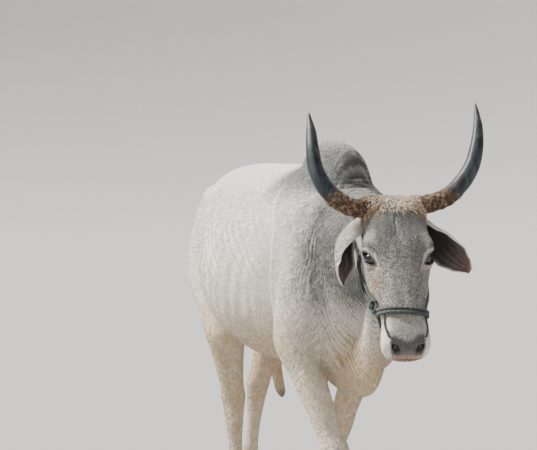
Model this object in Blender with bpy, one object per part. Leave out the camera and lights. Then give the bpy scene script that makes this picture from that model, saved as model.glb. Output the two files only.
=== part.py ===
# A walking zebu bull with a shoulder hump, lyre horns, hanging ears and a rope halter.
# Metres, +Z up. The bull faces -Y, its left side is +X, and it stands on the floor at z = 0.
# The body is blended from lofted forms, then parted with thin cuts into named pieces.

import math
import random

import bmesh
import bpy
import numpy as np
from mathutils import Matrix, Vector
from mathutils.bvhtree import BVHTree

# Driving sizes of the body
BACK = 1.28
CHEST_FLOOR = 0.60
BARREL_HALF = 0.305
SHOULDER_HALF = 0.205
RUMP_HALF = 0.200
HUMP_TOP = 1.372
HUMP_Y = -0.315
ELBOW_Z = 0.690
KNEE_Z = 0.395
STIFLE_Z = 0.660
HOCK_Z = 0.440
FETLOCK_Z = 0.130
HOOF_TOP = 0.062
SWITCH_TOP = 0.62
SWITCH_LENGTH = 0.30

# Driving sizes of the head, in its own level frame: muzzle towards -y, forehead up, left towards +x
HEAD_HALF = 0.108
MUZZLE_HALF = 0.071
HEAD_SCALE = 0.97
POLL = Vector((-0.162, -0.987, 1.2125))
HEAD_PITCH = math.radians(45)
HEAD_YAW = math.radians(-20)

# Details
GAP = 0.0003
EYE_RADIUS = 0.0260
EYE_PLACE = (0.0745, -0.1875, -0.0445)
EYE_LOOK = (0.80, -0.25, 0.55)
EYE_SLANT = (-0.36, -0.89, 0.27)
LID_HALF = 0.0290
LID_RISE = 0.0155
LID_SLIM = 0.30
NOSTRIL_PLACE = (0.036, -0.484, -0.087)
NOSTRIL_RADII = (0.0085, 0.024, 0.0125)
EAR_HALF = 0.046
EAR_THICK = 0.0065
HORN_RADIUS = 0.027
ROPE_RADIUS = 0.0058
CORD_RADIUS = 0.0032
CORD_CLEAR = 0.0008
ROPE_CLEAR = 0.0014
BAND_EXTRA = 0.0008
KNOT_RADII = (0.0130, 0.0180, 0.0165)
KNOT_STAND = 0.0150
DEWCLAW_RADII = (0.0095, 0.012, 0.015)
BODY_VOXEL = 0.0115
HEAD_VOXEL = 0.006
BODY_FACES = 3700
HEAD_FACES = 3000
SHARP = math.radians(40)

SIDES = {"left": 1, "right": -1}

HEAD = (
    Matrix.Translation(POLL)
    @ Matrix.Rotation(HEAD_YAW, 4, "Z")
    @ Matrix.Rotation(HEAD_PITCH, 4, "X")
    @ Matrix.Scale(HEAD_SCALE, 4)
)


# Materials

def material(name, colour, roughness):
    made = bpy.data.materials.new(name)
    made.use_nodes = True
    shader = made.node_tree.nodes["Principled BSDF"]
    shader.inputs["Base Color"].default_value = (*colour, 1)
    shader.inputs["Roughness"].default_value = roughness
    made.diffuse_color = (*colour, 1)
    return made


# Lofting

def smooth_rows(rows, count):
    """Cubic curve through the rows, spaced evenly by the distance between their first three values."""
    rows = np.array(rows, float)
    step = np.linalg.norm(np.diff(rows[:, :3], axis=0), axis=1)
    place = np.concatenate([[0.0], np.cumsum(step)])
    slope = np.gradient(rows, place, axis=0)
    wanted = np.linspace(0.0, place[-1], count)
    index = np.clip(np.searchsorted(place, wanted, side="right") - 1, 0, len(rows) - 2)
    span = (place[index + 1] - place[index])[:, None]
    t = (wanted - place[index])[:, None] / span
    return (
        rows[index] * (1 + 2 * t) * (1 - t) ** 2
        + slope[index] * span * t * (1 - t) ** 2
        + rows[index + 1] * t**2 * (3 - 2 * t)
        + slope[index + 1] * span * t**2 * (t - 1)
    )


def signed_power(value, power):
    return np.sign(value) * np.abs(value) ** power


def mesh_object(name, points, faces, finish=None):
    mesh = bpy.data.meshes.new(name)
    mesh.from_pydata([tuple(p) for p in points], [], faces)
    shape = bmesh.new()
    shape.from_mesh(mesh)
    # Quads are split one way, so a cutter and the node it makes room for keep the same facets
    bmesh.ops.triangulate(shape, faces=shape.faces, quad_method="FIXED")
    bmesh.ops.recalc_face_normals(shape, faces=shape.faces)
    shape.to_mesh(mesh)
    shape.free()
    made = bpy.data.objects.new(name, mesh)
    bpy.context.scene.collection.objects.link(made)
    if finish:
        mesh.materials.append(finish)
    return made


def loft(name, rings, finish=None):
    """Closed body through rings of equal point counts, an array (rings, sides, 3), with a fan at each end."""
    count, sides, _ = rings.shape
    points = list(rings.reshape(-1, 3)) + [rings[0].mean(0), rings[-1].mean(0)]
    faces = []
    for i in range(count - 1):
        for k in range(sides):
            a, b = i * sides + k, i * sides + (k + 1) % sides
            faces.append((a, b, b + sides, a + sides))
    first, last = count * sides, count * sides + 1
    for k in range(sides):
        after = (k + 1) % sides
        faces.append((after, k, first))
        faces.append(((count - 1) * sides + k, (count - 1) * sides + after, last))
    return mesh_object(name, points, faces, finish)


def barrel(name, rows, rings, sides):
    """Loft along y. A row is y, centre x, widest z, top z, bottom z, half width, upper power, lower power."""
    rows = smooth_rows(rows, rings)
    angle = np.linspace(0, 2 * math.pi, sides, endpoint=False)
    c, s = np.cos(angle), np.sin(angle)
    power = 2 / np.where(s >= 0, rows[:, 6:7], rows[:, 7:8])
    rise = np.where(s >= 0, rows[:, 3:4] - rows[:, 2:3], rows[:, 2:3] - rows[:, 4:5])
    x = rows[:, 1:2] + rows[:, 5:6] * signed_power(c, power)
    z = rows[:, 2:3] + rise * signed_power(s, power)
    y = np.repeat(rows[:, 0:1], sides, axis=1)
    return loft(name, np.stack([x, y, z], axis=2))


def level_loft(name, rows, rings, sides, grow=0.0, finish=None):
    """Loft in level rings from the top down. A row is x, y, z, half width across, half width along."""
    rows = smooth_rows(rows, rings)
    rows[:, 3:5] += grow
    rows[0, 2] += grow
    rows[-1, 2] -= grow
    angle = np.linspace(0, 2 * math.pi, sides, endpoint=False)
    x = rows[:, 0:1] + rows[:, 3:4] * np.cos(angle)
    y = rows[:, 1:2] + rows[:, 4:5] * np.sin(angle)
    z = np.repeat(rows[:, 2:3], sides, axis=1)
    return loft(name, np.stack([x, y, z], axis=2), finish)


def sweep(name, rows, rings, sides, up=(0, 0, 1), grow=0.0, finish=None):
    """Loft square to its path. A row is x, y, z, half width to the side, reach above, reach below."""
    rows = smooth_rows(rows, rings)
    tangent = np.gradient(rows[:, :3], axis=0)
    tangent /= np.linalg.norm(tangent, axis=1)[:, None]
    rows[0, :3] -= tangent[0] * grow
    rows[-1, :3] += tangent[-1] * grow
    side = np.cross(tangent, up)
    side /= np.linalg.norm(side, axis=1)[:, None]
    rise = np.cross(side, tangent)
    angle = np.linspace(0, 2 * math.pi, sides, endpoint=False)
    c, s = np.cos(angle), np.sin(angle)
    reach = np.where(s >= 0, rows[:, 4:5], rows[:, 5:6]) + grow
    around = ((rows[:, 3:4] + grow) * c)[:, :, None] * side[:, None]
    around = around + (reach * s)[:, :, None] * rise[:, None]
    return loft(name, rows[:, None, :3] + around, finish)


def tube(name, path, radius, sides, closed=False, grow=0.0, finish=None):
    """Round cord along a path of points, an open one with a fan at each end."""
    path = np.array(path, float)
    if closed:
        tangent = np.roll(path, -1, axis=0) - np.roll(path, 1, axis=0)
    else:
        tangent = np.gradient(path, axis=0)
    tangent /= np.linalg.norm(tangent, axis=1)[:, None]
    middle = path.mean(0)
    outward = path - middle
    outward -= (outward * tangent).sum(1)[:, None] * tangent
    outward /= np.linalg.norm(outward, axis=1)[:, None]
    across = np.cross(tangent, outward)
    angle = np.linspace(0, 2 * math.pi, sides, endpoint=False)
    c, s = np.cos(angle)[None, :, None], np.sin(angle)[None, :, None]
    if not closed:
        path[0] -= tangent[0] * grow
        path[-1] += tangent[-1] * grow
    rings = path[:, None] + (radius + grow) * (outward[:, None] * c + across[:, None] * s)
    if not closed:
        return loft(name, rings, finish)
    count = len(path)
    faces = []
    for i in range(count):
        j = (i + 1) % count
        for k in range(sides):
            after = (k + 1) % sides
            faces.append((i * sides + k, i * sides + after, j * sides + after, j * sides + k))
    return mesh_object(name, rings.reshape(-1, 3), faces, finish)


def ball(name, place, radii, turn=None, segments=18, rings=12, finish=None):
    """Ellipsoid of three radii at a place, turned by an optional matrix."""
    shape = bmesh.new()
    bmesh.ops.create_uvsphere(shape, u_segments=segments, v_segments=rings, radius=1.0)
    bmesh.ops.triangulate(shape, faces=shape.faces, quad_method="FIXED")
    scale = Matrix.Diagonal((radii[0], radii[1], radii[2], 1.0))
    shape.transform(Matrix.Translation(place) @ (turn or Matrix.Identity(4)) @ scale)
    mesh = bpy.data.meshes.new(name)
    shape.to_mesh(mesh)
    shape.free()
    if finish:
        mesh.materials.append(finish)
    made = bpy.data.objects.new(name, mesh)
    bpy.context.scene.collection.objects.link(made)
    return made


# Joining, cutting and finishing

def bake(thing):
    """Replace an object's mesh with its modified one."""
    bpy.context.view_layer.update()
    graph = bpy.context.evaluated_depsgraph_get()
    mesh = bpy.data.meshes.new_from_object(thing.evaluated_get(graph))
    thing.modifiers.clear()
    thing.data = mesh
    return thing


def remove(things):
    for thing in things:
        bpy.data.objects.remove(thing)


def blended(name, pieces, voxel, rounds, faces):
    """One smooth skin round overlapping forms, thinned to about the wanted number of faces."""
    shape = bmesh.new()
    for piece in pieces:
        shape.from_mesh(piece.data)
    mesh = bpy.data.meshes.new(name)
    shape.to_mesh(mesh)
    shape.free()
    remove(pieces)
    whole = bpy.data.objects.new(name, mesh)
    bpy.context.scene.collection.objects.link(whole)
    skin = whole.modifiers.new("skin", "REMESH")
    skin.mode = "VOXEL"
    skin.voxel_size = voxel
    soften = whole.modifiers.new("soften", "SMOOTH")
    soften.factor = 0.5
    soften.iterations = rounds
    bake(whole)
    thin = whole.modifiers.new("thin", "DECIMATE")
    thin.ratio = faces / (2 * len(whole.data.polygons))
    return bake(whole)


def boolean(target, cutter, operation):
    """Carve or keep the target by a cutter, and drop the cutter."""
    step = target.modifiers.new("step", "BOOLEAN")
    step.operation = operation
    step.solver = "MANIFOLD"
    step.object = cutter
    bake(target)
    remove([cutter])
    return target


def largest(thing):
    """Keep only the largest closed surface of a mesh."""
    shape = bmesh.new()
    shape.from_mesh(thing.data)
    bmesh.ops.triangulate(shape, faces=shape.faces)
    groups = []
    left = set(shape.faces)
    while left:
        group, queue = set(), [left.pop()]
        while queue:
            face = queue.pop()
            group.add(face)
            for edge in face.edges:
                for other in edge.link_faces:
                    if other in left:
                        left.discard(other)
                        queue.append(other)
        groups.append(group)
    groups.sort(key=lambda group: sum(face.calc_area() for face in group))
    for group in groups[:-1]:
        bmesh.ops.delete(shape, geom=list(group), context="FACES")
    bmesh.ops.dissolve_degenerate(shape, edges=shape.edges, dist=0.00002)
    bmesh.ops.triangulate(shape, faces=shape.faces)
    shape.to_mesh(thing.data)
    shape.free()
    return thing


def swollen(corners, grow):
    """A convex outline with every side moved outwards."""
    after, before = np.roll(corners, -1, axis=0), np.roll(corners, 1, axis=0)
    first, second = corners[1] - corners[0], corners[2] - corners[1]
    turn = np.sign(first[0] * second[1] - first[1] * second[0])
    edge_in = (corners - before) / np.linalg.norm(corners - before, axis=1)[:, None]
    edge_out = (after - corners) / np.linalg.norm(after - corners, axis=1)[:, None]
    normal_in = turn * np.stack([edge_in[:, 1], -edge_in[:, 0]], axis=1)
    normal_out = turn * np.stack([edge_out[:, 1], -edge_out[:, 0]], axis=1)
    spread = 1 + (normal_in * normal_out).sum(1)
    return corners + grow * (normal_in + normal_out) / spread[:, None]


def prism(name, outline, low, high, along="X", grow=0.0):
    """Slab between two x planes from (y, z) corners, or between two y planes from (x, z) corners."""
    corners = swollen(np.array(outline, float), grow) if grow else np.array(outline, float)
    count = len(corners)
    points = []
    for depth in (low - grow, high + grow):
        points += [(depth, a, z) if along == "X" else (a, depth, z) for a, z in corners]
    faces = [tuple(range(count)), tuple(range(2 * count - 1, count - 1, -1))]
    for k in range(count):
        after = (k + 1) % count
        faces.append((k, k + count, after + count, after))
    return mesh_object(name, points, faces)


def twin(thing, name="twin"):
    made = bpy.data.objects.new(name, thing.data.copy())
    bpy.context.scene.collection.objects.link(made)
    return made


def part_off(whole, name, cutter, finish):
    """Take the share of the whole inside a cutter as a new node, leaving the gap between them."""
    share = twin(whole, name)
    boolean(share, cutter(0.0), "INTERSECT")
    boolean(whole, cutter(GAP), "DIFFERENCE")
    return dress(largest(share), finish)


def dress(thing, finish):
    thing.data.materials.clear()
    thing.data.materials.append(finish)
    thing.data.polygons.foreach_set("material_index", [0] * len(thing.data.polygons))
    return thing


# Body forms

def trunk_form():
    """Rib cage, belly, loin and rump. The hindquarters swing a little to the left as it walks."""
    return barrel(
        "trunk",
        [
            (-0.655, -0.012, 0.88, 0.98, 0.77, 0.055, 2.0, 2.0),
            (-0.610, -0.010, 0.88, 1.10, 0.69, 0.125, 2.0, 2.0),
            (-0.520, -0.006, 0.90, 1.20, CHEST_FLOOR + 0.015, 0.170, 2.0, 2.0),
            (-0.360, 0.000, 0.93, BACK - 0.01, CHEST_FLOOR, SHOULDER_HALF, 2.0, 2.0),
            (-0.180, 0.000, 0.93, BACK, CHEST_FLOOR + 0.002, BARREL_HALF - 0.040, 1.9, 2.1),
            (0.000, 0.000, 0.92, BACK - 0.002, CHEST_FLOOR + 0.010, BARREL_HALF, 1.9, 2.2),
            (0.140, 0.004, 0.93, BACK - 0.006, CHEST_FLOOR + 0.030, BARREL_HALF - 0.004, 1.9, 2.1),
            (0.300, 0.010, 0.97, BACK - 0.012, CHEST_FLOOR + 0.105, RUMP_HALF + 0.040, 1.9, 2.0),
            (0.440, 0.015, 1.00, BACK - 0.036, CHEST_FLOOR + 0.160, RUMP_HALF, 2.0, 2.0),
            (0.560, 0.020, 1.00, BACK - 0.095, CHEST_FLOOR + 0.210, 0.150, 2.0, 2.0),
            (0.640, 0.020, 0.99, BACK - 0.170, CHEST_FLOOR + 0.270, 0.080, 2.0, 2.0),
        ],
        44,
        40,
    )


def hump_form():
    """Dome of muscle and fat over the withers, steeper behind than in front."""
    base = BACK - 0.08
    length = 0.178
    half = 0.090
    rows = []
    for share in np.linspace(-1.0, 1.0, 9):
        bulge = math.sqrt(max(0.0, 1 - abs(share) ** 2.4))
        top = base + 0.02 + (HUMP_TOP - base - 0.02) * bulge
        wide = 0.035 + (half - 0.035) * bulge
        rows.append((HUMP_Y + length * share, -0.010, base, top, base - 0.06, wide, 1.9, 2.0))
    return barrel("hump", rows, 20, 24)


def neck_form():
    return sweep(
        "neck",
        [
            (0.000, -0.380, 1.010, 0.185, 0.240, 0.300),
            (-0.020, -0.520, 1.020, 0.168, 0.210, 0.300),
            (-0.060, -0.660, 1.055, 0.132, 0.170, 0.240),
            (-0.100, -0.780, 1.090, 0.102, 0.130, 0.185),
            (-0.135, -0.880, 1.110, 0.092, 0.096, 0.150),
            (-0.155, -0.950, 1.115, 0.078, 0.075, 0.115),
        ],
        24,
        28,
    )


def dewlap_form():
    """Thin fold of skin from the throat to the brisket between the forelegs."""
    return barrel(
        "dewlap",
        [
            (-0.880, -0.135, 1.02, 1.07, 0.965, 0.030, 2.0, 2.0),
            (-0.810, -0.110, 0.92, 1.04, 0.845, 0.038, 2.0, 1.8),
            (-0.730, -0.075, 0.82, 0.98, 0.705, 0.045, 2.0, 1.7),
            (-0.655, -0.045, 0.75, 0.95, 0.610, 0.052, 2.0, 1.7),
            (-0.570, -0.028, 0.70, 0.88, 0.561, 0.070, 2.0, 2.0),
            (-0.480, -0.026, 0.67, 0.80, 0.558, 0.080, 2.0, 2.1),
            (-0.390, -0.018, 0.65, 0.75, 0.572, 0.074, 2.0, 2.1),
            (-0.310, -0.005, 0.64, 0.70, 0.600, 0.040, 2.0, 2.0),
        ],
        30,
        22,
    )


# Joints of each leg from the shoulder blade or hip down to the toe
FORE_JOINTS = {
    "left": [
        (0.090, -0.300, 1.190),
        (0.150, -0.390, 0.930),
        (0.125, -0.300, ELBOW_Z),
        (0.073, -0.190, KNEE_Z),
        (0.060, -0.110, FETLOCK_Z),
        (0.060, -0.142, 0.060),
    ],
    "right": [
        (-0.090, -0.300, 1.190),
        (-0.160, -0.420, 0.930),
        (-0.166, -0.372, ELBOW_Z),
        (-0.119, -0.545, KNEE_Z),
        (-0.115, -0.570, FETLOCK_Z),
        (-0.115, -0.606, 0.060),
    ],
}
HIND_JOINTS = {
    "left": [
        (0.105, 0.420, 1.170),
        (0.135, 0.460, 0.900),
        (0.138, 0.440, STIFLE_Z),
        (0.105, 0.530, HOCK_Z),
        (0.108, 0.612, FETLOCK_Z),
        (0.108, 0.582, 0.060),
    ],
    "right": [
        (-0.085, 0.410, 1.170),
        (-0.138, 0.370, 0.900),
        (-0.158, 0.235, STIFLE_Z),
        (-0.106, 0.285, HOCK_Z),
        (-0.112, 0.238, FETLOCK_Z),
        (-0.114, 0.206, 0.060),
    ],
}

# Widths down a leg: place counted in joints, half width across, half width fore and aft
FORE_WIDTHS = [
    (0.00, 0.034, 0.070),
    (0.50, 0.052, 0.118),
    (1.00, 0.060, 0.140),
    (1.55, 0.064, 0.130),
    (2.00, 0.062, 0.096),
    (2.30, 0.055, 0.074),
    (2.62, 0.048, 0.057),
    (2.86, 0.045, 0.048),
    (3.00, 0.048, 0.051),
    (3.16, 0.040, 0.042),
    (3.40, 0.029, 0.034),
    (3.76, 0.028, 0.033),
    (4.00, 0.037, 0.041),
    (4.45, 0.034, 0.036),
    (4.85, 0.043, 0.045),
    (5.40, 0.046, 0.047),
]
HIND_WIDTHS = [
    (0.00, 0.058, 0.100),
    (0.45, 0.084, 0.165),
    (1.00, 0.084, 0.178),
    (1.60, 0.076, 0.140),
    (2.00, 0.062, 0.104),
    (2.40, 0.050, 0.076),
    (2.80, 0.042, 0.062),
    (3.00, 0.043, 0.058),
    (3.14, 0.038, 0.048),
    (3.36, 0.030, 0.039),
    (3.80, 0.027, 0.033),
    (4.00, 0.036, 0.040),
    (4.45, 0.033, 0.036),
    (4.85, 0.042, 0.044),
    (5.40, 0.045, 0.046),
]


def leg_form(name, joints, widths):
    """Leg lofted down its joints, the last one carried on below the toe to be cut off level."""
    joints = np.array(joints + [2 * np.array(joints[-1]) - np.array(joints[-2])])
    rows = []
    for place, across, along in widths:
        index = min(int(place), len(joints) - 2)
        share = place - index
        rows.append((*(joints[index] * (1 - share) + joints[index + 1] * share), across, along))
    return level_loft(name, rows, 46, 20)


def hip_forms(side):
    """The hook bone and the pin bone under the skin."""
    hook = ball("hook", (0.012 + side * 0.140, 0.330, 1.135), (0.065, 0.110, 0.062))
    pin = ball("pin", (0.020 + side * 0.075, 0.585, 1.095), (0.045, 0.060, 0.065))
    return [hook, pin]


# Head forms, placed by the head's own frame

def in_head(piece):
    piece.data.transform(HEAD)
    return piece


def head_point(side, place):
    return HEAD @ Vector((side * place[0], place[1], place[2]))


def skull_form():
    rows = [
        (0.050, 0, -0.070, -0.040, -0.120, 0.055, 2.0, 2.0),
        (0.022, 0, -0.055, -0.004, -0.165, 0.086, 2.4, 2.0),
        (-0.030, 0, -0.045, 0.010, -0.198, HEAD_HALF - 0.014, 2.8, 2.0),
        (-0.100, 0, -0.040, 0.011, -0.220, HEAD_HALF - 0.010, 3.0, 2.0),
        (-0.150, 0, -0.050, 0.009, -0.226, HEAD_HALF - 0.002, 2.9, 2.0),
        (-0.200, 0, -0.072, 0.003, -0.222, HEAD_HALF - 0.011, 2.3, 2.0),
        (-0.255, 0, -0.082, -0.009, -0.206, 0.085, 2.2, 2.1),
        (-0.315, 0, -0.087, -0.023, -0.186, 0.071, 2.2, 2.2),
        (-0.368, 0, -0.090, -0.035, -0.173, 0.063, 2.3, 2.3),
        (-0.410, 0, -0.098, -0.043, -0.170, MUZZLE_HALF - 0.004, 2.4, 2.4),
        (-0.450, 0, -0.100, -0.052, -0.168, MUZZLE_HALF, 2.5, 2.5),
        (-0.475, 0, -0.104, -0.064, -0.158, MUZZLE_HALF - 0.008, 2.4, 2.4),
        (-0.487, 0, -0.108, -0.082, -0.142, 0.042, 2.0, 2.0),
    ]
    return in_head(barrel("skull", rows, 44, 36))


def face_forms(side):
    """Brow, lids, cheek, nostril wing and horn burr of one side, as mounds on the skull."""
    mounds = [
        ("brow", (0.086, -0.154, -0.022), (0.020, 0.040, 0.020)),
        ("lids", (0.0765, -0.190, -0.0425), (0.0285, 0.037, 0.0285)),
        ("cheek", (0.058, -0.215, -0.125), (0.030, 0.095, 0.066)),
        ("wing", (0.040, -0.455, -0.088), (0.029, 0.028, 0.024)),
        ("burr", (0.064, -0.012, -0.014), (0.043, 0.036, 0.031)),
        ("ear root", (0.078, -0.034, -0.066), (0.032, 0.034, 0.034)),
    ]
    return [in_head(ball(name, (side * p[0], p[1], p[2]), radii)) for name, p, radii in mounds]


def chin_form():
    return in_head(ball("chin", (0, -0.425, -0.162), (0.048, 0.046, 0.026)))


# Horns, ears and eyes

HORN_PATHS = {
    "left": [
        (0.072, -0.010, -0.008),
        (0.108, -0.010, 0.001),
        (0.154, -0.004, 0.018),
        (0.200, 0.025, 0.047),
        (0.235, 0.070, 0.075),
        (0.255, 0.130, 0.096),
        (0.266, 0.197, 0.111),
        (0.268, 0.285, 0.126),
    ],
    "right": [
        (-0.072, -0.014, -0.008),
        (-0.119, -0.024, -0.003),
        (-0.169, -0.002, 0.011),
        (-0.209, 0.040, 0.030),
        (-0.229, 0.082, 0.049),
        (-0.236, 0.137, 0.071),
        (-0.237, 0.207, 0.087),
        (-0.241, 0.273, 0.099),
    ],
}
HORN_TAPER = [1.0, 1.0, 0.98, 0.94, 0.86, 0.74, 0.52, 0.10]


def horn(name, side_name, grow, finish):
    rows = []
    for point, taper in zip(HORN_PATHS[side_name], HORN_TAPER):
        radius = HORN_RADIUS * taper
        rows.append((*(HEAD @ Vector(point)), radius, radius, radius))
    return sweep(name, rows, 22, 12, up=(0.37, 0.93, 0.1), grow=grow, finish=finish)


EAR_PATHS = {
    "left": [
        (0.084, -0.036, -0.060),
        (0.114, -0.074, -0.063),
        (0.146, -0.126, -0.058),
        (0.178, -0.174, -0.055),
        (0.211, -0.218, -0.061),
    ],
    "right": [
        (-0.080, -0.030, -0.068),
        (-0.106, -0.054, -0.076),
        (-0.127, -0.099, -0.094),
        (-0.140, -0.154, -0.116),
        (-0.150, -0.210, -0.143),
    ],
}
# Where the hollow of each ear faces, in the head's frame
EAR_OPENS = {"left": (-0.72, -0.50, 0.47), "right": (0.89, -0.42, 0.19)}
# Place along the ear, share of the full half width, curl of the cup in degrees to each side
EAR_SHAPE = [
    (0.00, 0.46, 118),
    (0.15, 0.60, 108),
    (0.35, 0.92, 84),
    (0.55, 1.00, 66),
    (0.75, 0.84, 54),
    (0.90, 0.52, 46),
    (1.00, 0.16, 40),
]


def ear(name, side_name, grow, finish):
    """Cupped leaf: rings of an outer arc and an inner arc, curled tighter towards the root."""
    count, half_sides = 13, 8
    path = smooth_rows([tuple(HEAD @ Vector(p)) for p in EAR_PATHS[side_name]], count)
    opens = np.array(HEAD.to_3x3() @ Vector(EAR_OPENS[side_name]))
    tangent = np.gradient(path, axis=0)
    tangent /= np.linalg.norm(tangent, axis=1)[:, None]
    facing = opens - (tangent @ opens)[:, None] * tangent
    facing /= np.linalg.norm(facing, axis=1)[:, None]
    side = np.cross(tangent, facing)
    share = np.linspace(0, 1, count)
    shape = np.array(EAR_SHAPE, float)
    wide = EAR_HALF * np.interp(share, shape[:, 0], shape[:, 1])
    curl = np.radians(np.interp(share, shape[:, 0], shape[:, 2]))
    radius = wide / np.sin(np.minimum(curl, math.pi / 2))
    thick = EAR_THICK * (1 - 0.45 * share)
    across = np.linspace(-1, 1, half_sides)
    rings = []
    for i in range(count):
        outer, inner = [], []
        for u in across:
            turn = (curl[i] + grow / radius[i]) * u
            rim = 1 - 0.55 * abs(u) ** 6
            for arc, depth in ((outer, thick[i] * rim + grow), (inner, -grow)):
                reach = radius[i] + depth
                sideways = side[i] * math.sin(turn)
                arc.append(path[i] + reach * (sideways - facing[i] * math.cos(turn)))
        rings.append(outer + inner[::-1])
    rings = np.array(rings)
    if grow:
        rings[-1] += tangent[-1] * grow
        rings[0] -= tangent[0] * grow
    sides = 2 * half_sides
    faces = []
    for i in range(count - 1):
        for k in range(sides):
            after = (k + 1) % sides
            faces.append((i * sides + k, i * sides + after, (i + 1) * sides + after, (i + 1) * sides + k))
    for i in (0, count - 1):
        for k in range(half_sides - 1):
            mirrored = sides - 1 - k
            faces.append((i * sides + k, i * sides + k + 1, i * sides + mirrored - 1, i * sides + mirrored))
    return mesh_object(name, rings.reshape(-1, 3), faces, finish)


def eye(name, side, grow, finish):
    place = head_point(side, EYE_PLACE)
    radius = EYE_RADIUS + grow
    return ball(name, place, (radius, radius, radius), segments=12, rings=9, finish=finish)


def lid_opening(side):
    """Almond through the lids, its long axis along the head and dipping to the inner corner."""
    look = Vector((side * EYE_LOOK[0], EYE_LOOK[1], EYE_LOOK[2])).normalized()
    along = Vector((side * EYE_SLANT[0], EYE_SLANT[1], EYE_SLANT[2]))
    along = (along - along.dot(look) * look).normalized()
    rise = look.cross(along)
    centre = Vector((side * EYE_PLACE[0], EYE_PLACE[1], EYE_PLACE[2]))
    count = 14
    rings = []
    for reach in (0.010, 0.050):
        ring = []
        for k in range(count):
            turn = 2 * math.pi * k / count
            c, s = math.cos(turn), math.sin(turn)
            point = along * (LID_HALF * c) + rise * (LID_RISE * s * (1 - LID_SLIM * c * c))
            ring.append(HEAD @ (centre + look * reach + point * (1 + 4 * (reach - 0.010))))
        rings.append(ring)
    return loft("lid opening", np.array(rings))


def nostril_cut(side):
    place = head_point(side, NOSTRIL_PLACE)
    turn = Matrix.Rotation(side * math.radians(24), 4, "Z") @ Matrix.Rotation(math.radians(-20), 4, "X")
    return ball("nostril", place, NOSTRIL_RADII, HEAD.to_3x3().to_4x4() @ turn, 14, 10)


def mouth_cut(tree):
    """Groove between the lips, round the front of the muzzle and back to both corners."""
    path = []
    for turn in np.linspace(-1, 1, 25):
        angle = math.radians(152 * turn / 2)
        aim = Vector((math.sin(angle), -math.cos(angle), 0))
        back = abs(turn) ** 1.5
        level = -0.134 - 0.004 * back
        start = HEAD @ Vector((aim.x * 0.3, -0.405 + aim.y * 0.3 + 0.050 * back, level))
        inward = HEAD.to_3x3() @ (-aim)
        hit = tree.ray_cast(start, inward)[0]
        path.append((*hit, 0.0085, 0.0013, 0.0013))
    up = HEAD.to_3x3() @ Vector((0, 0, 1))
    return sweep("mouth", path, 26, 6, up=up)


# Feet

def hoof(name, toe, inner, finish):
    """One claw of a cloven hoof: level sole, sloped toe, flat top under the pastern."""
    x = toe[0] + inner * 0.0235
    rows = []
    for z, across, along, back in (
        (0.0, 0.0210, 0.0500, -0.010),
        (0.006, 0.0222, 0.0515, -0.009),
        (0.030, 0.0218, 0.0460, -0.002),
        (HOOF_TOP - 0.004, 0.0205, 0.0395, 0.006),
        (HOOF_TOP, 0.0195, 0.0380, 0.007),
    ):
        rows.append((x, toe[1] + back, z, across, along))
    rows = np.array(rows)
    angle = np.linspace(0, 2 * math.pi, 12, endpoint=False)
    c, s = np.cos(angle), np.sin(angle)
    # The face towards the cleft is flatter than the outer wall
    flatten = np.where(c * inner < 0, 0.86, 1.0)
    toe_point = np.where(s < 0, 1.0 - 0.10 * np.abs(c), 1.0)
    px = rows[:, 0:1] + rows[:, 3:4] * signed_power(c, 0.8) * flatten
    py = rows[:, 1:2] + rows[:, 4:5] * signed_power(s, 0.85) * toe_point
    pz = np.repeat(rows[:, 2:3], 12, axis=1)
    return loft(name, np.stack([px, py, pz], axis=2), finish)


def dewclaw(name, joint, inner, grow, finish):
    place = (joint[0] + inner * 0.019, joint[1] + 0.036, joint[2] - 0.014)
    radii = [radius + grow for radius in DEWCLAW_RADII]
    return ball(name, place, radii, Matrix.Rotation(math.radians(25), 4, "X"), 8, 6, finish)


# Tail, sheath and scrotum

TAIL_PATH = [
    (0.018, 0.560, 1.150, 0.030),
    (0.020, 0.622, 1.148, 0.028),
    (0.022, 0.672, 1.105, 0.024),
    (0.025, 0.700, 1.020, 0.020),
    (0.028, 0.708, 0.900, 0.0165),
    (0.031, 0.704, 0.760, 0.0145),
    (0.034, 0.696, SWITCH_TOP + 0.012, 0.0125),
]


def tail(name, grow, finish):
    rows = [(x, y, z, r, r, r) for x, y, z, r in TAIL_PATH]
    return sweep(name, rows, 18, 10, up=(1, 0, 0), grow=grow, finish=finish)


def lock(name, root, swing, spread, length, wide, thick):
    """One flat tapered lock of hair hanging from its root and closing to a point."""
    count = 6
    out = Vector((math.cos(swing), math.sin(swing), 0))
    flat = Vector((-math.sin(swing), math.cos(swing), 0))
    rings = []
    for share in np.linspace(0, 1, count):
        drift = spread * math.sin(share * math.pi * 0.62)
        centre = Vector(root) + out * drift + Vector((0, 0, -length * share))
        body = math.sin(math.pi * min(1.0, 0.30 + 0.70 * share)) ** 0.75 * 0.9 + 0.06
        rings.append(
            [
                centre + flat * (wide * body * math.cos(t)) + out * (thick * body * math.sin(t))
                for t in np.linspace(0, 2 * math.pi, 6, endpoint=False)
            ]
        )
    return loft(name, np.array(rings))


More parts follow.
